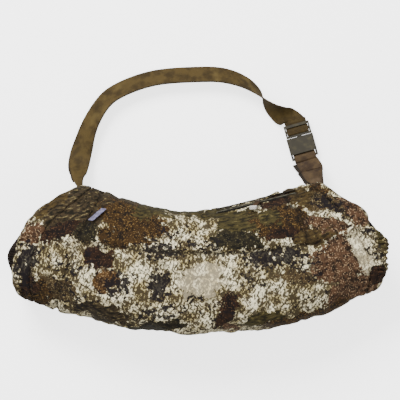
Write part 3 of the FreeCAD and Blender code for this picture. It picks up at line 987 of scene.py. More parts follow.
@dataclass
class PaddedBody:
    """Front panels, back panel and wadding as one stuffed wall round the hand tunnel."""

    finishes: Finishes
    columns: int = 118
    rows: int = 108
    wall: float = 14.4
    start_depth: float = 1.6
    frames: int = 18
    pressure: float = 4.0
    spare: float = -0.045
    reach: float = 7.0
    hold: float = 2.3
    quality: int = 6
    stiffness: float = 0.6
    groove: float = 2.2
    groove_width: float = 1.9
    pucker: float = 0.55
    pucker_pitch: float = 7.5
    pleat: float = 1.9
    pleat_width: float = 1.7
    side_seam: float = 1.6
    gather: float = 0.8
    gather_pitch: float = 8.5
    fold: float = 0.9

    def seams(self) -> tuple[PlanLine, ...]:
        """Front seams that hold the cloth down."""
        return (LEFT_PANEL_SEAM, POCKET_END_SEAM, CROSS_SEAM)

    def seam_gap(self, points: Array) -> Array:
        """Distance of each point from the nearest sewn line of the outside."""
        front = points[:, 2] > 40
        gap = np.abs(points[:, 2] - FORM.seam_z) * 1.2
        for seam in self.seams():
            far = self.trimmed(seam, points)
            gap = np.where(front, np.minimum(gap, far), gap)
        return gap

    def trimmed(self, seam: PlanLine, points: Array) -> Array:
        """Distance from a front seam, far where the seam isn't sewn."""
        far, _ = seam.near(points[:, :2])
        x, y = points[:, 0], points[:, 1]
        if seam is CROSS_SEAM:
            return np.where(x < LEFT_PANEL_SEAM.x_at(y) + 1, 99.0, far)
        if seam is POCKET_END_SEAM:
            return np.where(y < CROSS_SEAM.y_at(x) - 1, 99.0, far)
        return far

    def skin(self) -> tuple[Mesh, Array]:
        """Outside of the wall between the two cuff seams, closed round the tube."""
        bm, share = grid(self.columns, self.rows)
        depth = np.full(len(share), self.start_depth)
        points = FORM.between(LEFT_CUFF_SEAM, RIGHT_CUFF_SEAM, share[:, 0], share[:, 1], depth)
        underside = (share[:, 1] > 0.55) * (points[:, 2] < 8)
        points[:, 2] = np.maximum(points[:, 2] - 1.2 * underside, 0.3)
        sew(bm, points)
        return bm, points

    def puff(self, obj: Piece) -> None:
        """Blows the outside up between its seams with a cloth simulation."""
        before, _ = spots(obj)
        gap = self.seam_gap(before)
        along, across, above = ZIP.local(before).T
        in_zip = (np.abs(along) < 52) & (np.abs(across) < 14) & (above > -25)
        ends = np.zeros(len(before), bool)
        bm = bmesh.new()
        bm.from_mesh(obj.data)
        for edge in bm.edges:
            if edge.is_boundary:
                ends[[edge.verts[0].index, edge.verts[1].index]] = True
        bm.free()
        held = (gap < self.hold) | in_zip | ends | (before[:, 2] < 1.0)
        group = obj.vertex_groups.new(name="held")
        group.add([int(i) for i in np.nonzero(held)[0]], 1.0, "REPLACE")
        cloth = obj.modifiers.new("puff", "CLOTH")
        cloth.settings.vertex_group_mass = "held"
        cloth.settings.use_pressure = True
        cloth.settings.uniform_pressure_force = self.pressure
        cloth.settings.shrink_min = self.spare
        cloth.settings.quality = self.quality
        cloth.settings.bending_stiffness = self.stiffness
        cloth.settings.effector_weights.gravity = 0.0
        cloth.collision_settings.use_collision = False
        cloth.point_cache.frame_start, cloth.point_cache.frame_end = 1, self.frames
        for number in range(1, self.frames + 1):
            bpy.context.scene.frame_set(number)
        settle(obj)
        bpy.context.scene.frame_set(1)
        obj.vertex_groups.clear()
        after, _ = spots(obj)
        step = after - before
        length = np.linalg.norm(step, axis=1, keepdims=True)
        step *= np.minimum(1.0, self.reach / np.maximum(length, 1e-6))
        after = before + step
        after[:, 2] = np.maximum(after[:, 2], 0.2)
        lay(obj, after)
        LOG.info("puffed body: mean move %.1f mm", float(length.mean()))

    def wall_in(self, obj: Piece) -> Piece:
        """Adds the inner side of the wall and closes both ends.

        Args:
            obj: the puffed outside.

        Returns:
            The closed wall.
        """
        bm, share = grid(self.columns, self.rows)
        depth = np.full(len(share), self.wall)
        points = FORM.between(LEFT_CUFF_SEAM, RIGHT_CUFF_SEAM, share[:, 0], share[:, 1], depth)
        sew(bm, points)
        bm.from_mesh(obj.data)
        for side in (-1, 1):
            selvedge_and_shade = [e for e in open_loops(bm) if e.verts[0].co.x * side > 0]
            bmesh.ops.bridge_loops(bm, edges=selvedge_and_shade)
        bpy.data.objects.remove(obj)
        return as_object(bm, "padded_body")

    def detail(self, obj: Piece) -> None:
        """Seam grooves, puckers, pleats, soft folds, painted shade in the seams and pleats, and
        the trough for the zip.
        """
        points, out = spots(obj)
        x, y, z = points.T
        nominal = FORM.raw(x, np.full(len(x), 0.5), np.zeros(len(x)))
        outside = self.outside(points, out)
        front = (z > 38) & outside
        lift = np.zeros(len(x))
        for seam, bulge in ((LEFT_PANEL_SEAM, 0.4), (POCKET_END_SEAM, 0.8), (CROSS_SEAM, 1.0)):
            far = self.trimmed(seam, points)
            _, along = seam.near(points[:, :2])
            groove = -self.groove * hump(far, self.groove_width)
            wave = np.sin(along * 2 * np.pi / self.pucker_pitch + 2 * np.sin(along / 17))
            pucker = self.pucker * hump(far - 4, 4.5) * wave
            lift += np.where(front, groove + pucker + bulge * hump(far - 6, 5), 0)
        above = (y - CROSS_SEAM.y_at(x)) * front
        lift += 2.6 * hump(above - 9, 8) * hump(x - 25, 75) * (above > 0)
        lift -= 1.8 * hump(above + 4, 4) * hump(x - 25, 75) * (above < 0)
        side = np.abs(z - FORM.seam_z)
        lift += np.where(outside, -self.side_seam * hump(side, 1.8), 0)
        for pleat in (SHORT_PLEAT, LONG_PLEAT):
            far, _ = pleat.near(points[:, :2])
            sunk = -self.pleat * hump(far, self.pleat_width)
            lift += np.where(front, sunk + 0.9 * hump(far - 4.5, 3), 0)
        for corner, size in (((-127, 12), 30), ((129, 14), 30)):
            dx, dy = x - corner[0], y - corner[1]
            reach = np.hypot(dx, dy)
            fan = np.sin(np.arctan2(dy, dx) * 17 + reach * 0.08)
            lift += np.where(front, 1.3 * hump(reach, size) * fan, 0)
        cuffs = np.minimum(
            np.abs(x - LEFT_CUFF_SEAM.x_at(y)), np.abs(x - RIGHT_CUFF_SEAM.x_at(y))
        )
        arc = y * 0.9 + z * 0.8
        gather = np.sin(arc * 2 * np.pi / self.gather_pitch + 1.6 * np.sin(arc / 11))
        pulled = self.gather * hump(cuffs - 4, 8) * gather
        lift += np.where(outside, pulled - 2.2 * hump(cuffs, 2.4), 0)
        folds = self.fold * grain(points * [0.5, 1.3, 1], 24, 5) + 0.45 * grain(points, 9, 8)
        lift += np.where(outside & (z > 2), folds, 0)
        lift = np.where(z < 6, np.clip(lift, -1.0, 0.4), lift)
        self.paint_crease_shade(obj, points, outside & front, cuffs)
        points = points + out * lift[:, None]
        points = self.zip_trough(points, outside)
        points[:, 2] = np.maximum(points[:, 2], 0.15)
        points[:, 2] = np.minimum(points[:, 2], nominal[:, 2] + 6)
        lay(obj, points)

    def paint_crease_shade(
        self, obj: Piece, points: Array, front: Array, cuffs: Array
    ) -> None:
        """Stores painted shade: where the cloth is painted darker in its seam grooves, cuff seams
        and pleats, where shade falls.
        """
        dark = hump(cuffs, 2.6) * 0.9
        for seam, depth in ((LEFT_PANEL_SEAM, 0.5), (POCKET_END_SEAM, 0.8), (CROSS_SEAM, 0.9)):
            near = hump(self.trimmed(seam, points), self.groove_width)
            dark = np.maximum(dark, depth * near * front)
        for pleat in (SHORT_PLEAT, LONG_PLEAT):
            near = hump(pleat.near(points[:, :2])[0], self.pleat_width)
            dark = np.maximum(dark, 0.8 * near * front)
        crease_shade = obj.data.attributes.new("crease_shade", "FLOAT", "POINT")
        crease_shade.data.foreach_set("value", dark.astype(np.float32))

    def outside(self, points: Array, out: Array) -> Array:
        """True for vertices of the wall's outer side."""
        low, high, _ = FORM.sizes(points[:, 0])
        middle = (low + high) / 2
        away_y, away_z = points[:, 1] - middle, points[:, 2] - FORM.seam_z
        return away_y * out[:, 1] + away_z * out[:, 2] > 0

    def zip_trough(self, points: Array, outside: Array) -> Array:
        """Sinks the cloth along the zip, so that the teeth show between two welts."""
        local = ZIP.local(points)
        along = 1 - rise(46, 49, np.abs(local[:, 0]))
        here = outside & (local[:, 2] > -20) & (np.abs(local[:, 1]) < 26) & (along > 0)
        side = np.abs(local[:, 1])
        trough = (1 - rise(3.4, 5.0, side)) * along
        welt = 0.9 * hump(side - 6.2, 1.6) * along
        floor = np.minimum(local[:, 2], -5.0)
        near = 1 - rise(8, 20, side)
        bed = local[:, 2] * (1 - near) + np.minimum(local[:, 2], 0.6) * near
        height = np.where(here, bed + welt, local[:, 2])
        height = np.where(here, height * (1 - trough) + floor * trough, height)
        local[:, 2] = height
        return ZIP.world(local)

    def build(self) -> Piece:
        """Makes the body and puts it on the muff."""
        bm, _ = self.skin()
        skin = as_object(bm, "body_skin")
        self.puff(skin)
        body = soften(self.wall_in(skin), 1)
        self.detail(body)
        dress(body, self.finishes.shell)
        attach(body, "muff")
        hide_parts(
            "front_yoke", "front_right_yoke", "front_left_panel", "front_lower_panel",
            "back_panel", "wadding_front", "wadding_back",
        )
        return body


# Tubes of cloth at the hand openings


@dataclass
class Cuff:
    """One hand opening: gathered band, elastic and ribbed knit cuff."""

    finishes: Finishes
    side: str
    seam: PlanLine
    mouth: PlanLine
    inward: int
    lobes: tuple[tuple[float, float, float], ...]
    knit_lip: tuple[float, float, float]
    gather: float = 1.4
    waves: int = 44

    def ring(
        self, columns: int, rows: int, shape: Callable[[Array, Array], tuple]
    ) -> tuple[Mesh, Array]:
        """Tube of cloth round the opening.

        Args:
            columns: cells from the seam outwards.
            rows: cells round the opening.
            shape: gives way from seam to mouth, push outwards and depth for each share.

        Returns:
            The mesh and its points.
        """
        bm, share = grid(columns, rows)
        way, push, depth = shape(share[:, 0], share[:, 1])
        points = FORM.between(self.seam, self.mouth, way, share[:, 1], depth, push * -self.inward)
        return bm, points

    def lobe(self, loop: Array) -> Array:
        """How far the band stands out, by place round the opening."""
        probe = FORM.between(self.seam, self.mouth, np.ones(len(loop)), loop, np.zeros(len(loop)))
        out = sum(size * hump(probe[:, 1] - y, width) for y, width, size in self.lobes)
        return out * rise(30, 60, probe[:, 2])

    def band(self) -> Piece:
        """Gathered band with a rolled lip that turns into the tunnel."""

        def shape(run: Array, loop: Array) -> tuple:
            """From under the body's edge, over the lip, to the inside."""
            face = np.clip(run / 0.6, 0, 1)
            lip = np.clip((run - 0.6) / 0.25, 0, 1)
            inside = np.clip((run - 0.85) / 0.15, 0, 1)
            way = -0.12 + 1.12 * face
            puffed = 1.1 * np.sin(np.pi * face) - 2.0 * (1 - rise(0, 0.22, face))
            roll = 2.6 * np.sin(np.pi * lip) + 1.6 * rise(0.5, 1, face)
            depth = -puffed + 14.3 * rise(0, 1, lip) + 0.4 * inside
            push = roll + self.lobe(loop) * rise(0.2, 1, face) * (1 - inside) - 9 * inside - 1.6
            return way, push, np.where(loop > 0.55, np.maximum(depth, 0.8), depth)

        bm, points = self.ring(30, 264, shape)
        sew(bm, points, True)
        obj = as_object(bm, f"{self.side}_gathered_cuff")
        soften(obj, 1)
        at, out = spots(obj)
        self.ruffle(obj, at, out)
        dress(obj, self.finishes.shell)
        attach(obj, "muff")
        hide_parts(f"{self.side}_cuff_band")
        return obj

    def ruffle(self, obj: Piece, at: Array, out: Array) -> None:
        """Small gathers that deepen towards the mouth, and the casing's sewn line."""
        start, end = self.seam.x_at(at[:, 1]), self.mouth.x_at(at[:, 1])
        way = np.clip((at[:, 0] - start) / (end - start), 0, 1.2)
        middle = -66.0
        turn = np.arctan2(at[:, 2] - FORM.seam_z, at[:, 1] - middle)
        uneven = 1.1 * np.sin(turn * 5 + self.inward) + 0.8 * np.sin(turn * 9 + 2)
        gathers = np.sin(turn * self.waves + uneven * 3)
        gathers += 0.5 * np.sin(turn * self.waves * 0.53 + 4 * uneven)
        lift = self.gather * rise(0.05, 0.9, way) * gathers * 0.7
        lift -= 0.9 * hump(way - 0.52, 0.07)
        lift += 0.5 * grain(at, 11, 3)
        lift = np.where(at[:, 2] < 5, np.clip(lift, -1, 0.2), lift)
        at = at + out * lift[:, None]
        at[:, 2] = np.maximum(at[:, 2], 0.2)
        lay(obj, at)

    def knit(self) -> Piece:
        """Ribbed cuff inside the mouth, with a rolled edge that peeks out."""
        centre, width, size = self.knit_lip

        def shape(run: Array, loop: Array) -> tuple:
            """Outer face, rolled edge and inner face."""
            ends, deep = np.ones(len(loop)), np.full(len(loop), 17.0)
            probe = FORM.between(self.seam, self.mouth, ends, loop, deep)
            peek = size * hump(probe[:, 1] - centre, width) * rise(34, 50, probe[:, 2])
            face = np.where(run < 0.46, run / 0.46, np.where(run > 0.54, (1 - run) / 0.46, 1.0))
            depth = 17.2 + 2.6 * rise(0.46, 0.54, run)
            ribs = 0.42 * np.sin(loop * 2 * np.pi * 88) * np.where(run < 0.5, 1, -1)
            roll = 0.8 * np.sin(np.pi * np.clip((run - 0.46) / 0.08, 0, 1))
            push = -40 + (42 + peek) * face + roll
            return np.ones(len(run)), push, depth - ribs - peek * 0.4 * rise(0.8, 1, face)

        bm, points = self.ring(34, 528, shape)
        sew(bm, points, True)
        obj = as_object(bm, f"{self.side}_ribbed_cuff")
        dress(obj, self.finishes.knit)
        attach(obj, "muff")
        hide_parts(f"{self.side}_knit_cuff")
        return obj

    def elastic(self) -> Piece:
        """Elastic inside the band."""

        def shape(run: Array, loop: Array) -> tuple:
            """Flat ring a few millimetres inside the mouth."""
            wave = 0.3 * np.sin(loop * 2 * np.pi * self.waves)
            return np.ones(len(run)), -8 + 5 * run, 6.0 + wave

        bm, points = self.ring(6, 176, shape)
        sew(bm, points)
        obj = thicken(as_object(bm, f"{self.side}_elastic_ring"), 1.6)
        dress(obj, self.finishes.elastic)
        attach(obj, "muff")
        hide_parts(f"{self.side}_cuff_elastic")
        return obj

    def build(self) -> None:
        """Makes the opening's three pieces."""
        self.band()
        self.knit()
        self.elastic()


@dataclass
class TunnelLining:
    """Fleece tube through the muff."""

    finishes: Finishes
    depth: float = 15.9
    thick: float = 2.2

    def build(self) -> None:
        """Makes the tube with a soft uneven pile."""
        bm, share = grid(90, 96)
        depth = np.full(len(share), self.depth)
        way = 0.012 + 0.976 * share[:, 0]
        points = FORM.between(LEFT_MOUTH, RIGHT_MOUTH, way, share[:, 1], depth)
        sew(bm, points)
        obj = as_object(bm, "fleece_tunnel")
        at, out = spots(obj)
        lay(obj, at - out * np.abs(0.35 * grain(at, 7, 6))[:, None])
        thicken(obj, self.thick)
        dress(obj, self.finishes.fleece)
        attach(obj, "muff")
        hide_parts("fleece_liner")


# Small sewn parts on the body


@dataclass
class SewnDetails:
    """Seam stitches, blank label and pocket bag."""

    finishes: Finishes
    body: Piece
    pitch: float = 3.4

    def tree(self) -> BVHTree:
        """The body's faces, for finding its surface."""
        bm = bmesh.new()
        bm.from_mesh(self.body.data)
        found = BVHTree.FromBMesh(bm)
        bm.free()
        return found

    def over(self, tree: BVHTree, x: float, y: float) -> tuple[Vector, Vector]:
        """Point and direction of the body's front under a plan point, in millimetres."""
        spot, out, _, _ = tree.ray_cast(Vector((x, y, 200)) * MM, Vector((0, 0, -1)))
        if spot is None:
            spot, out, _, _ = tree.find_nearest(Vector((x, y, 50)) * MM)
        return spot / MM, out

    def stitches(self, tree: BVHTree) -> None:
        """Rows of thread beside the seams and round both cuff seams."""
        bm = bmesh.new()
        runs = [
            (CROSS_SEAM, 3.2, lambda x, y: x > LEFT_PANEL_SEAM.x_at(np.array([y]))[0] + 3
             and x < RIGHT_CUFF_SEAM.x_at(np.array([y]))[0] - 3),
            (LEFT_PANEL_SEAM, 3.0, lambda x, y: -137 < y < 8),
            (POCKET_END_SEAM, 3.0, lambda x, y: -51 < y < 10),
        ]
        for seam, offset, kept in runs:
            line = seam.sampled(self.pitch)
            for a, b in zip(line[:-1], line[1:]):
                way = (b - a) / max(np.linalg.norm(b - a), 1e-6)
                side = 1 if way[0] > 0.5 else -1
                spot = (a + b) / 2 + np.array([-way[1], way[0]]) * offset * side
                if kept(spot[0], spot[1]):
                    self.stitch(bm, tree, Vector((*spot, 0)), Vector((*way, 0)))
        for seam, sign in ((LEFT_CUFF_SEAM, 1), (RIGHT_CUFF_SEAM, -1)):
            loop = np.linspace(0, 1, 128, endpoint=False)
            ring = FORM.between(seam, seam, np.zeros(128), loop, np.zeros(128), 4.0 * sign)
            for i in range(128):
                here, after = Vector(ring[i]), Vector(ring[(i + 1) % 128])
                self.stitch(bm, tree, here, (after - here).normalized(), False)
        obj = as_object(bm, "seam_stitches", False)
        dress(obj, self.finishes.thread)
        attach(obj, "muff")

    def stitch(
        self, bm: Mesh, tree: BVHTree, at: Vector, way: Vector, from_above: bool = True
    ) -> None:
        """Adds one stitch.

        Args:
            bm: mesh that collects the stitches.
            tree: the body's surface.
            at: wanted place, in millimetres.
            way: direction of the thread.
            from_above: look for the surface from above, else from the nearest point.
        """
        if from_above:
            spot, out = self.over(tree, at.x, at.y)
        else:
            found, out, _, _ = tree.find_nearest(at * MM)
            spot = found / MM
        along = (way - out * way.dot(out)).normalized()
        side = out.cross(along)
        turn = Matrix((along, side, out)).transposed().to_4x4()
        size = Matrix.Diagonal((self.pitch * 0.36, 0.32, 0.3, 1))
        place = Matrix.Translation((spot + out * 0.12) * MM) @ turn @ size @ Matrix.Scale(MM, 4)
        bmesh.ops.create_icosphere(bm, subdivisions=1, radius=1.0, matrix=place)

    def label(self, tree: BVHTree) -> None:
        """Blank folded label that stands out of the left seam."""
        bm, share = grid(14, 8)
        sewn_a, sewn_b = Vector((-125.4, -23.1, 0)), Vector((-110.0, -9.8, 0))
        free = Vector((5.8, -0.9, 0))
        for vert, (along, out) in zip(bm.verts, share):
            plan = sewn_a.lerp(sewn_b, along) + free * out
            ground, _ = self.over(tree, plan.x, plan.y)
            curl = 4.2 * out ** 0.8 + 0.5 * math.sin(along * 5) * out
            vert.co = Vector((plan.x, plan.y, ground.z + 0.5 + curl)) * MM
        obj = thicken(soften(as_object(bm, "blank_label"), 1), 0.5)
        dress(obj, self.finishes.label)
        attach(obj, "muff")
        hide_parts("side_label")

    def build(self) -> None:
        """Makes the details."""
        tree = self.tree()
        self.stitches(tree)
        self.label(tree)
        dress(frame["nodes"]["pocket_bag"], self.finishes.lining)


# Pocket zip


@dataclass
class PocketZip:
    """Coils, tapes, welts, slider and pull of the accessory pocket."""

    finishes: Finishes
    pitch: float = 1.5
    wire: float = 0.34

    def tape(self, name: str, side: int) -> None:
        """Woven tape beside the coil."""
        bm, share = grid(96, 8)
        points = np.zeros((len(share), 3))
        points[:, 0] = -47 + 94 * share[:, 0]
        points[:, 1] = side * (1.9 + 9.6 * share[:, 1])
        points[:, 2] = -3.0 + 0.12 * np.sin(points[:, 0] * 1.3) * share[:, 1] - 0.8 * share[:, 1]
        move_to(bm, ZIP.world(points))
        obj = thicken(as_object(bm, f"{name}_woven"), 0.7)
        dress(obj, self.finishes.tape)
        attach(obj, "muff")
        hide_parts(name)

    def coil(self, name: str, side: int) -> None:
        """Nylon coil: one loop of wire for each tooth."""
        bm = bmesh.new()
        count = int(2 * ZIP.half / self.pitch)
        reach = 1.45
        for i in range(count):
            x = -ZIP.half + (i + (0.5 if side > 0 else 0.0) + 0.25) * self.pitch
            centre = ZIP.world(np.array([[x, side * reach * 0.95, -2.95]]))[0]
            turn = ZIP.matrix().to_3x3().to_4x4()
            size = Matrix.Diagonal((self.wire * 1.5, reach, 1.0, 1))
            place = Matrix.Translation(Vector(centre) * MM) @ turn @ size @ Matrix.Scale(MM, 4)
            bmesh.ops.create_icosphere(bm, subdivisions=1, radius=1.0, matrix=place)
        obj = as_object(bm, f"{name}_teeth", False)
        dress(obj, self.finishes.coil)
        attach(obj, "muff")
        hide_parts(name)

    def welt(self, name: str, side: int) -> None:
        """Thin piping along the opening's edge."""
        bm = bmesh.new()
        bmesh.ops.create_circle(bm, segments=8, radius=1.0)
        ring = bm.verts[:]
        for vert in ring:
            turned = np.array([[-46.0, side * 4.7 + vert.co.x * 0.9, 0.7 + vert.co.y * 0.7]])
            vert.co = Vector(ZIP.world(turned)[0]) * MM
        edges = bm.edges[:]
        start, end = ZIP.world(np.array([[0.0, 0, 0], [1.0, 0, 0]]))
        axis = Vector(end - start)
        for _ in range(46):
            made = bmesh.ops.extrude_edge_only(bm, edges=edges)["geom"]
            verts = [g for g in made if isinstance(g, bmesh.types.BMVert)]
            edges = [g for g in made if isinstance(g, bmesh.types.BMEdge)]
            edges = [e for e in edges if e.is_boundary and all(v in verts for v in e.verts)]
            bmesh.ops.translate(bm, verts=verts, vec=axis * 2.0 * MM)
        bmesh.ops.holes_fill(bm, edges=open_loops(bm), sides=0)
        obj = as_object(bm, name)
        dress(obj, self.finishes.piping if side < 0 else self.finishes.tape)
        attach(obj, "muff")

    def tab(self) -> None:
        """Webbing tab on the slider's pull, read off the CAD tab's place."""
        node = frame["nodes"]["pull_webbing_tab"]
        bm = bmesh.new()
        bm.from_mesh(node.data)
        bmesh.ops.remove_doubles(bm, verts=bm.verts[:], dist=1e-6)
        bmesh.ops.dissolve_limit(bm, angle_limit=0.02, verts=bm.verts[:], edges=bm.edges[:])
        bmesh.ops.bevel(
            bm, geom=bm.edges[:], offset=0.35 * MM, segments=2, profile=0.5, affect="EDGES",
            material=-1,
        )
        uv = bm.loops.layers.uv.new("UVMap")
        low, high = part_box("pull_webbing_tab")
        middle = (low + high) / 2
        way = Vector((low.x - high.x, low.y - high.y, 0)).normalized()
        for face in bm.faces:
            for loop in face.loops:
                gap = loop.vert.co - middle
                loop[uv].uv = (gap.dot(way), 0.5 + gap.dot(way.orthogonal()) / 0.0064)
        obj = as_object(bm, "zip_pull_tab")
        dress(obj, self.finishes.pull)
        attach(obj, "pull")
        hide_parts("pull_webbing_tab")

    def build(self) -> None:
        """Makes the zip."""
        for place, side in (("front", -1), ("back", 1)):
            self.tape(f"zip_tape_{place}", side)
            self.coil(f"zip_coil_{place}", side)
            self.welt(f"zip_welt_{place}", side)
        self.tab()
        nodes = frame["nodes"]
        for name in ("zip_slider", "zip_pull", "zip_stops"):
            dress(nodes[name], self.finishes.metal)
        dress(nodes["pull_tab_crimp"], self.finishes.crimp)


# Belt


@dataclass(frozen=True)
class StrapStation:
    """Place of a strap: its centre, the direction of its width and the share of it that shows."""

    at: Vector
    across: Vector
    wide: float = 1.0


def stations(path: Sequence[Sequence[float]]) -> list[StrapStation]:
    """Stations of a strap from x, y, z, lean in degrees and, where folded, share of its width."""
    points = [Vector(p[:3]) for p in path]
    made = []
    for i, (point, step) in enumerate(zip(points, path)):
        along = (points[min(i + 1, len(points) - 1)] - points[max(i - 1, 0)]).normalized()
        level = Vector((along.y, -along.x, 0)).normalized()
        up = level.cross(along).normalized()
        lean = math.radians(step[3])
        across = level * math.cos(lean) + up * math.sin(lean)
        made.append(StrapStation(point, across, *step[4:]))
    return made


@dataclass
class Strap:
    """Flat woven strap that follows stations, in parts that meet without a step."""

    stations: list[StrapStation]
    width: float = 25.4
    fine: int = 9
    seed: float = 1.0
    ripple: float = 0.25

    def curve(self, row: Iterable[Vector], at: Array) -> Array:
        """Smooth line through one vector of each station."""
        values = np.array([list(v) for v in row])
        keys = list(range(len(values)))
        return np.stack([smooth_between(keys, values[:, i], at) for i in range(3)], axis=1)

    def part(
        self, name: str, start: float, end: float, thick: float, shift: float = 0.0,
        slide: float = 0.0,
    ) -> Piece:
        """One stretch of the strap.

        Args:
            name: the piece's name.
            start: station where it starts.
            end: station where it ends.
            thick: thickness in millimetres.
            shift: moves it out of its own plane, in millimetres.
            slide: moves it sideways in its own plane, unevenly, in millimetres.

        Returns:
            The new piece.
        """
        columns, rows = max(4, int((end - start) * self.fine)), 10
        bm, share = grid(columns, rows)
        at = start + (end - start) * share[:, 0]
        centre = self.curve((s.at for s in self.stations), at)
        across = self.curve((s.across for s in self.stations), at)
        along = self.curve((s.at for s in self.stations), at + 0.02) - centre
        along /= np.linalg.norm(along, axis=1, keepdims=True)
        across /= np.linalg.norm(across, axis=1, keepdims=True)
        out = np.cross(across, along)
        out /= np.linalg.norm(out, axis=1, keepdims=True)
        keys = list(range(len(self.stations)))
        fold = smooth_between(keys, [s.wide for s in self.stations], at)
        wide = (share[:, 1] - 0.5) * self.width * fold
        wide += slide * (1 + 0.18 * np.sin(at * 2.6))
        sway = self.ripple * np.sin(at * 2.1 + self.seed) * (0.4 + np.abs(share[:, 1] - 0.5))
        points = centre + across * wide[:, None] + out * (shift + sway)[:, None]
        runs = self.lengths(at)
        uv = bm.loops.layers.uv.active
        move_to(bm, points)
        for face in bm.faces:
            for loop in face.loops:
                loop[uv].uv = (runs[loop.vert.index] * MM, share[loop.vert.index, 1])
        return thicken(as_object(bm, name, False), thick)

    def lengths(self, at: Array) -> Array:
        """Length along the strap to each place."""
        fine = np.linspace(0, len(self.stations) - 1, 600)
        line = self.curve((s.at for s in self.stations), fine)
        run = np.concatenate([[0], np.cumsum(np.linalg.norm(np.diff(line, axis=0), axis=1))])
        return np.interp(at, fine, run)


LEFT_TAB_PATH = (
    (-133, 6, 42, 70, 0.25), (-136, 14, 41, 50, 0.3), (-138, 20.5, 36.5, 26, 0.42),
    (-139, 25.6, 30.2, 8, 0.56), (-139, 29.6, 25.4, 0, 0.68),
)
RIGHT_TAB_PATH = (
    (140.5, 6, 43, 60, 0.25), (140, 14.5, 42, 40, 0.32), (137.5, 20.8, 37, 20, 0.55),
    (134.4, 25.6, 30.2, 6, 0.8), (132.2, 29.6, 25.4, 0, 0.92),
)
BELT_PATH = (
    (-139, 32.4, 22.5, 0, 0.77), (-139, 40, 15, 4, 0.92), (-137.4, 51, 9.5, 16),
    (-134, 64, 9.2, 27),
    (-130, 77.5, 9.4, 36), (-124, 92, 9.9, 42), (-116, 106, 10.1, 45), (-105, 118.5, 10.1, 45),
    (-90, 128, 10.1, 45), (-72, 135.6, 10.1, 45), (-52, 140.8, 10.1, 45), (-30, 143.8, 10.1, 45),
    (-5, 145.2, 10.1, 45), (19, 145, 10.1, 46), (38, 141.8, 10.4, 50), (54, 135.5, 11.5, 58),
    (66, 126.5, 12.9, 70), (73.6, 118, 13.9, 88),
)
BELT_END_PATH = (
    (78.6, 112, 13.7, 104), (84.6, 105.6, 12, 120), (92.8, 100.1, 8.8, 140),
    (100.5, 94.8, 4.8, 165),
    (111.3, 92.8, 3.45, 180),
)
SHORT_PATH = ((131, 32.5, 22.4, 0), (131, 35.5, 18.6, 0), (128.4, 39.8, 12, 0))


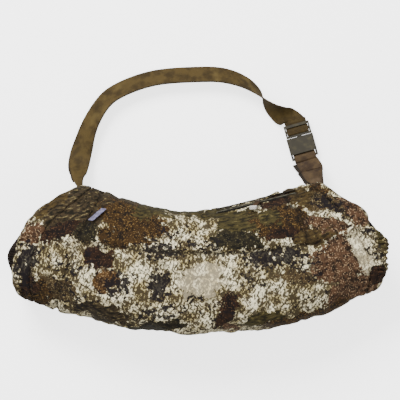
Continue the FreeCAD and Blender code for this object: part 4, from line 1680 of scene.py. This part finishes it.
@dataclass
class WaistBelt:
    """Long strap, short doubled strap and side-release buckle."""

    finishes: Finishes
    peek: float = -3.6
    under_side: float = -1.0
    under_slide: float = -1.3

    def long_strap(self) -> None:
        """Strap from the left tab, along the back and through a half twist to the buckle."""
        path = stations(LEFT_TAB_PATH + BELT_PATH + BELT_END_PATH)
        path[-2] = StrapStation(BUCKLE.at(-11.5, -8.0, -1.4), BUCKLE.way(120))
        path[-1] = StrapStation(BUCKLE.at(-6.3, -1.2, -2.55), BUCKLE.way(90))
        strap = Strap(path)
        root = strap.part("left_strap_root", 0, 6, 1.6)
        dress(root, self.finishes.webbing)
        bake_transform(root)
        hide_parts("left_belt_tab")
        turn = len(LEFT_TAB_PATH) + len(BELT_PATH) - 1
        main = strap.part("long_strap", 6, turn, 1.6)
        dress(main, self.finishes.webbing)
        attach(main, "belt_long")
        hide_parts("belt_webbing")
        # dark strip under the strap's left edge: painted shade where the strap's edge curls over
        under = strap.part(
            "left_strap_shaded_edge", 2.6, 9.0, 1.4, self.under_side * 1.6, self.under_slide
        )
        dress(under, self.finishes.shaded_webbing)
        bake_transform(under)
        end = strap.part("strap_half_twist", turn, len(path) - 1, 1.5)
        dress(end, self.finishes.webbing)
        path[turn].at * MM
        path[-1].at * MM
        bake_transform(end)
        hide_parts("belt_webbing_end")

    def wrapped(self, name: str, corners: Sequence[Pair], body: str, node: str, thick: float,
                material: Material) -> None:
        """Webbing folded round a bar of the buckle.

        Args:
            name: the piece's name.
            corners: path in the buckle's length and height, in millimetres.
            body: body that it moves with.
            node: CAD node that it stands for.
            thick: thickness in millimetres.
            material: its finish.
        """
        rows = [StrapStation(BUCKLE.at(x, 0, z), BUCKLE.way(90)) for x, z in corners]
        strap = Strap(rows, fine=5, ripple=0.0)
        obj = strap.part(name, 0, len(rows) - 1, thick)
        dress(obj, material)
        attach(obj, body)
        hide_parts(node)

    def short_strap(self) -> None:
        """Doubled webbing from the right tab to the female half."""
        tail = 43.2
        path = stations(RIGHT_TAB_PATH + SHORT_PATH + ((*BUCKLE.at(tail, 0, 0), 0),))
        path[-1] = StrapStation(path[-1].at, BUCKLE.way(90) * -1)
        if path[-1].across.dot(path[-2].across) < 0:
            path[-1] = StrapStation(path[-1].at, BUCKLE.way(90))
        strap = Strap(path, seed=3.0, ripple=0.1)
        root = strap.part("right_strap_root", 0, 5.5, 1.6)
        dress(root, self.finishes.short_webbing)
        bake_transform(root)
        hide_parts("right_belt_tab")
        front = strap.part("short_strap_front", 5.5, len(path) - 1, 1.3, 0.75)
        # the doubled strap's back layer slides out by peek and wears the darker copy as painted
        # shade
        back = strap.part("short_strap_back", 2.6, len(path) - 1.1, 1.3, -0.75, self.peek)
        dress(front, self.finishes.short_webbing)
        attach(front, "belt_short")
        dress(back, self.finishes.shaded_webbing)
        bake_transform(back)
        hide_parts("short_webbing")

    def build(self) -> None:
        """Makes the belt."""
        self.long_strap()
        self.short_strap()
        male = (
            (-6.4, -2.55), (-1.5, -2.6), (1.4, -2.4), (2.9, -0.6), (3.2, 1.2), (4.4, 2.25),
            (6.6, 2.4), (9.4, 2.2), (10.5, 0.9), (10.6, -2.0), (10.1, -3.7), (8.2, -4.3),
            (2.0, -4.3), (-2.0, -4.25),
        )
        self.wrapped(
            "buckle_wrap", male, "male_half", "buckle_webbing_wrap", 1.3, self.finishes.webbing
        )
        female = (
            (43.2, 1.2), (41.4, 2.4), (38.0, 2.65), (34.9, 2.3), (33.6, 0.0), (34.9, -2.3),
            (38.0, -2.65), (41.4, -2.4), (43.2, -1.2),
        )
        self.wrapped(
            "short_strap_loop", female, "belt_short", "short_webbing_loop", 1.4,
            self.finishes.short_webbing,
        )
        for name in ("buckle_male", "buckle_left_prong", "buckle_right_prong", "buckle_female"):
            dress(frame["nodes"][name], self.finishes.plastic)


# Studio


@dataclass(frozen=True)
class Studio:
    """Pale floor, soft lights and the camera above the muff."""

    width_seen: float = 0.460
    lens: float = 235.0
    sensor: float = 36.0
    middle_z: float = 0.04
    floor_glow: float = 2.4

    def floor(self) -> None:
        """Plain pale floor."""
        bm = bmesh.new()
        bmesh.ops.create_grid(bm, x_segments=1, y_segments=1, size=4.0)
        bmesh.ops.translate(bm, verts=bm.verts[:], vec=(0, 0, -0.0006))
        floor = as_object(bm, "studio_floor", False)
        dye = Dye("studio_white", 0.9)
        dye.shader.inputs["Base Color"].default_value = (0.97, 0.97, 0.97, 1)
        dye.shader.inputs["Emission Color"].default_value = (1, 1, 1, 1)
        dye.shader.inputs["Emission Strength"].default_value = self.floor_glow
        floor.data.materials.append(dye.material)
        floor.visible_diffuse = floor.visible_glossy = False

    def lamp(self, name: str, at: Sequence[float], size: float, power: float) -> None:
        """Square soft light aimed at the muff."""
        light = bpy.data.lights.new(name, "AREA")
        light.size, light.energy = size, power
        lamp = bpy.data.objects.new(name, light)
        lamp.location = at
        lamp.rotation_euler = (-Vector(at)).to_track_quat("-Z", "Y").to_euler()
        bpy.context.scene.collection.objects.link(lamp)

    def build(self) -> None:
        """Sets up floor, lights, surroundings and camera."""
        self.floor()
        self.lamp("key_light", (-0.7, 1.3, 1.7), 0.9, 80)
        self.lamp("fill_light", (1.4, -0.9, 1.8), 1.6, 20)
        world = bpy.data.worlds.new("studio_air")
        world.use_nodes = True
        world.node_tree.nodes["Background"].inputs["Color"].default_value = (1, 1, 1, 1)
        world.node_tree.nodes["Background"].inputs["Strength"].default_value = 0.75
        bpy.context.scene.world = world
        camera = bpy.data.cameras.new("view_from_above")
        camera.lens, camera.sensor_width = self.lens, self.sensor
        camera.clip_start, camera.clip_end = 0.1, 20.0
        eye = bpy.data.objects.new("view_from_above", camera)
        far = self.width_seen * self.lens / self.sensor
        eye.location = (0.0012, -0.0006, far + self.middle_z)
        bpy.context.scene.collection.objects.link(eye)
        bpy.context.scene.camera = eye


def main() -> None:
    """Builds the muff's pieces in order and dresses them."""
    logging.basicConfig(level=logging.INFO, format="%(message)s")
    finishes = Finishes()
    Studio().build()
    body = PaddedBody(finishes).build()
    Cuff(
        finishes, "left", LEFT_CUFF_SEAM, LEFT_MOUTH, 1,
        lobes=((-20, 16, 1.5), (-64, 18, -4.0), (-108, 12, 1.0)), knit_lip=(-64, 17, 5.0),
    ).build()
    Cuff(
        finishes, "right", RIGHT_CUFF_SEAM, RIGHT_MOUTH, -1,
        lobes=((-8, 14, 3.0), (-27, 4, -3.0), (-50, 14, 3.5), (-76, 4, -3.0), (-86, 7, 2.0)),
        knit_lip=(-30, 10, 1.0), gather=1.7,
    ).build()
    TunnelLining(finishes).build()
    SewnDetails(finishes, body).build()
    PocketZip(finishes).build()
    WaistBelt(finishes).build()
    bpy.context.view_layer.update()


if __name__ == "__main__":
    main()
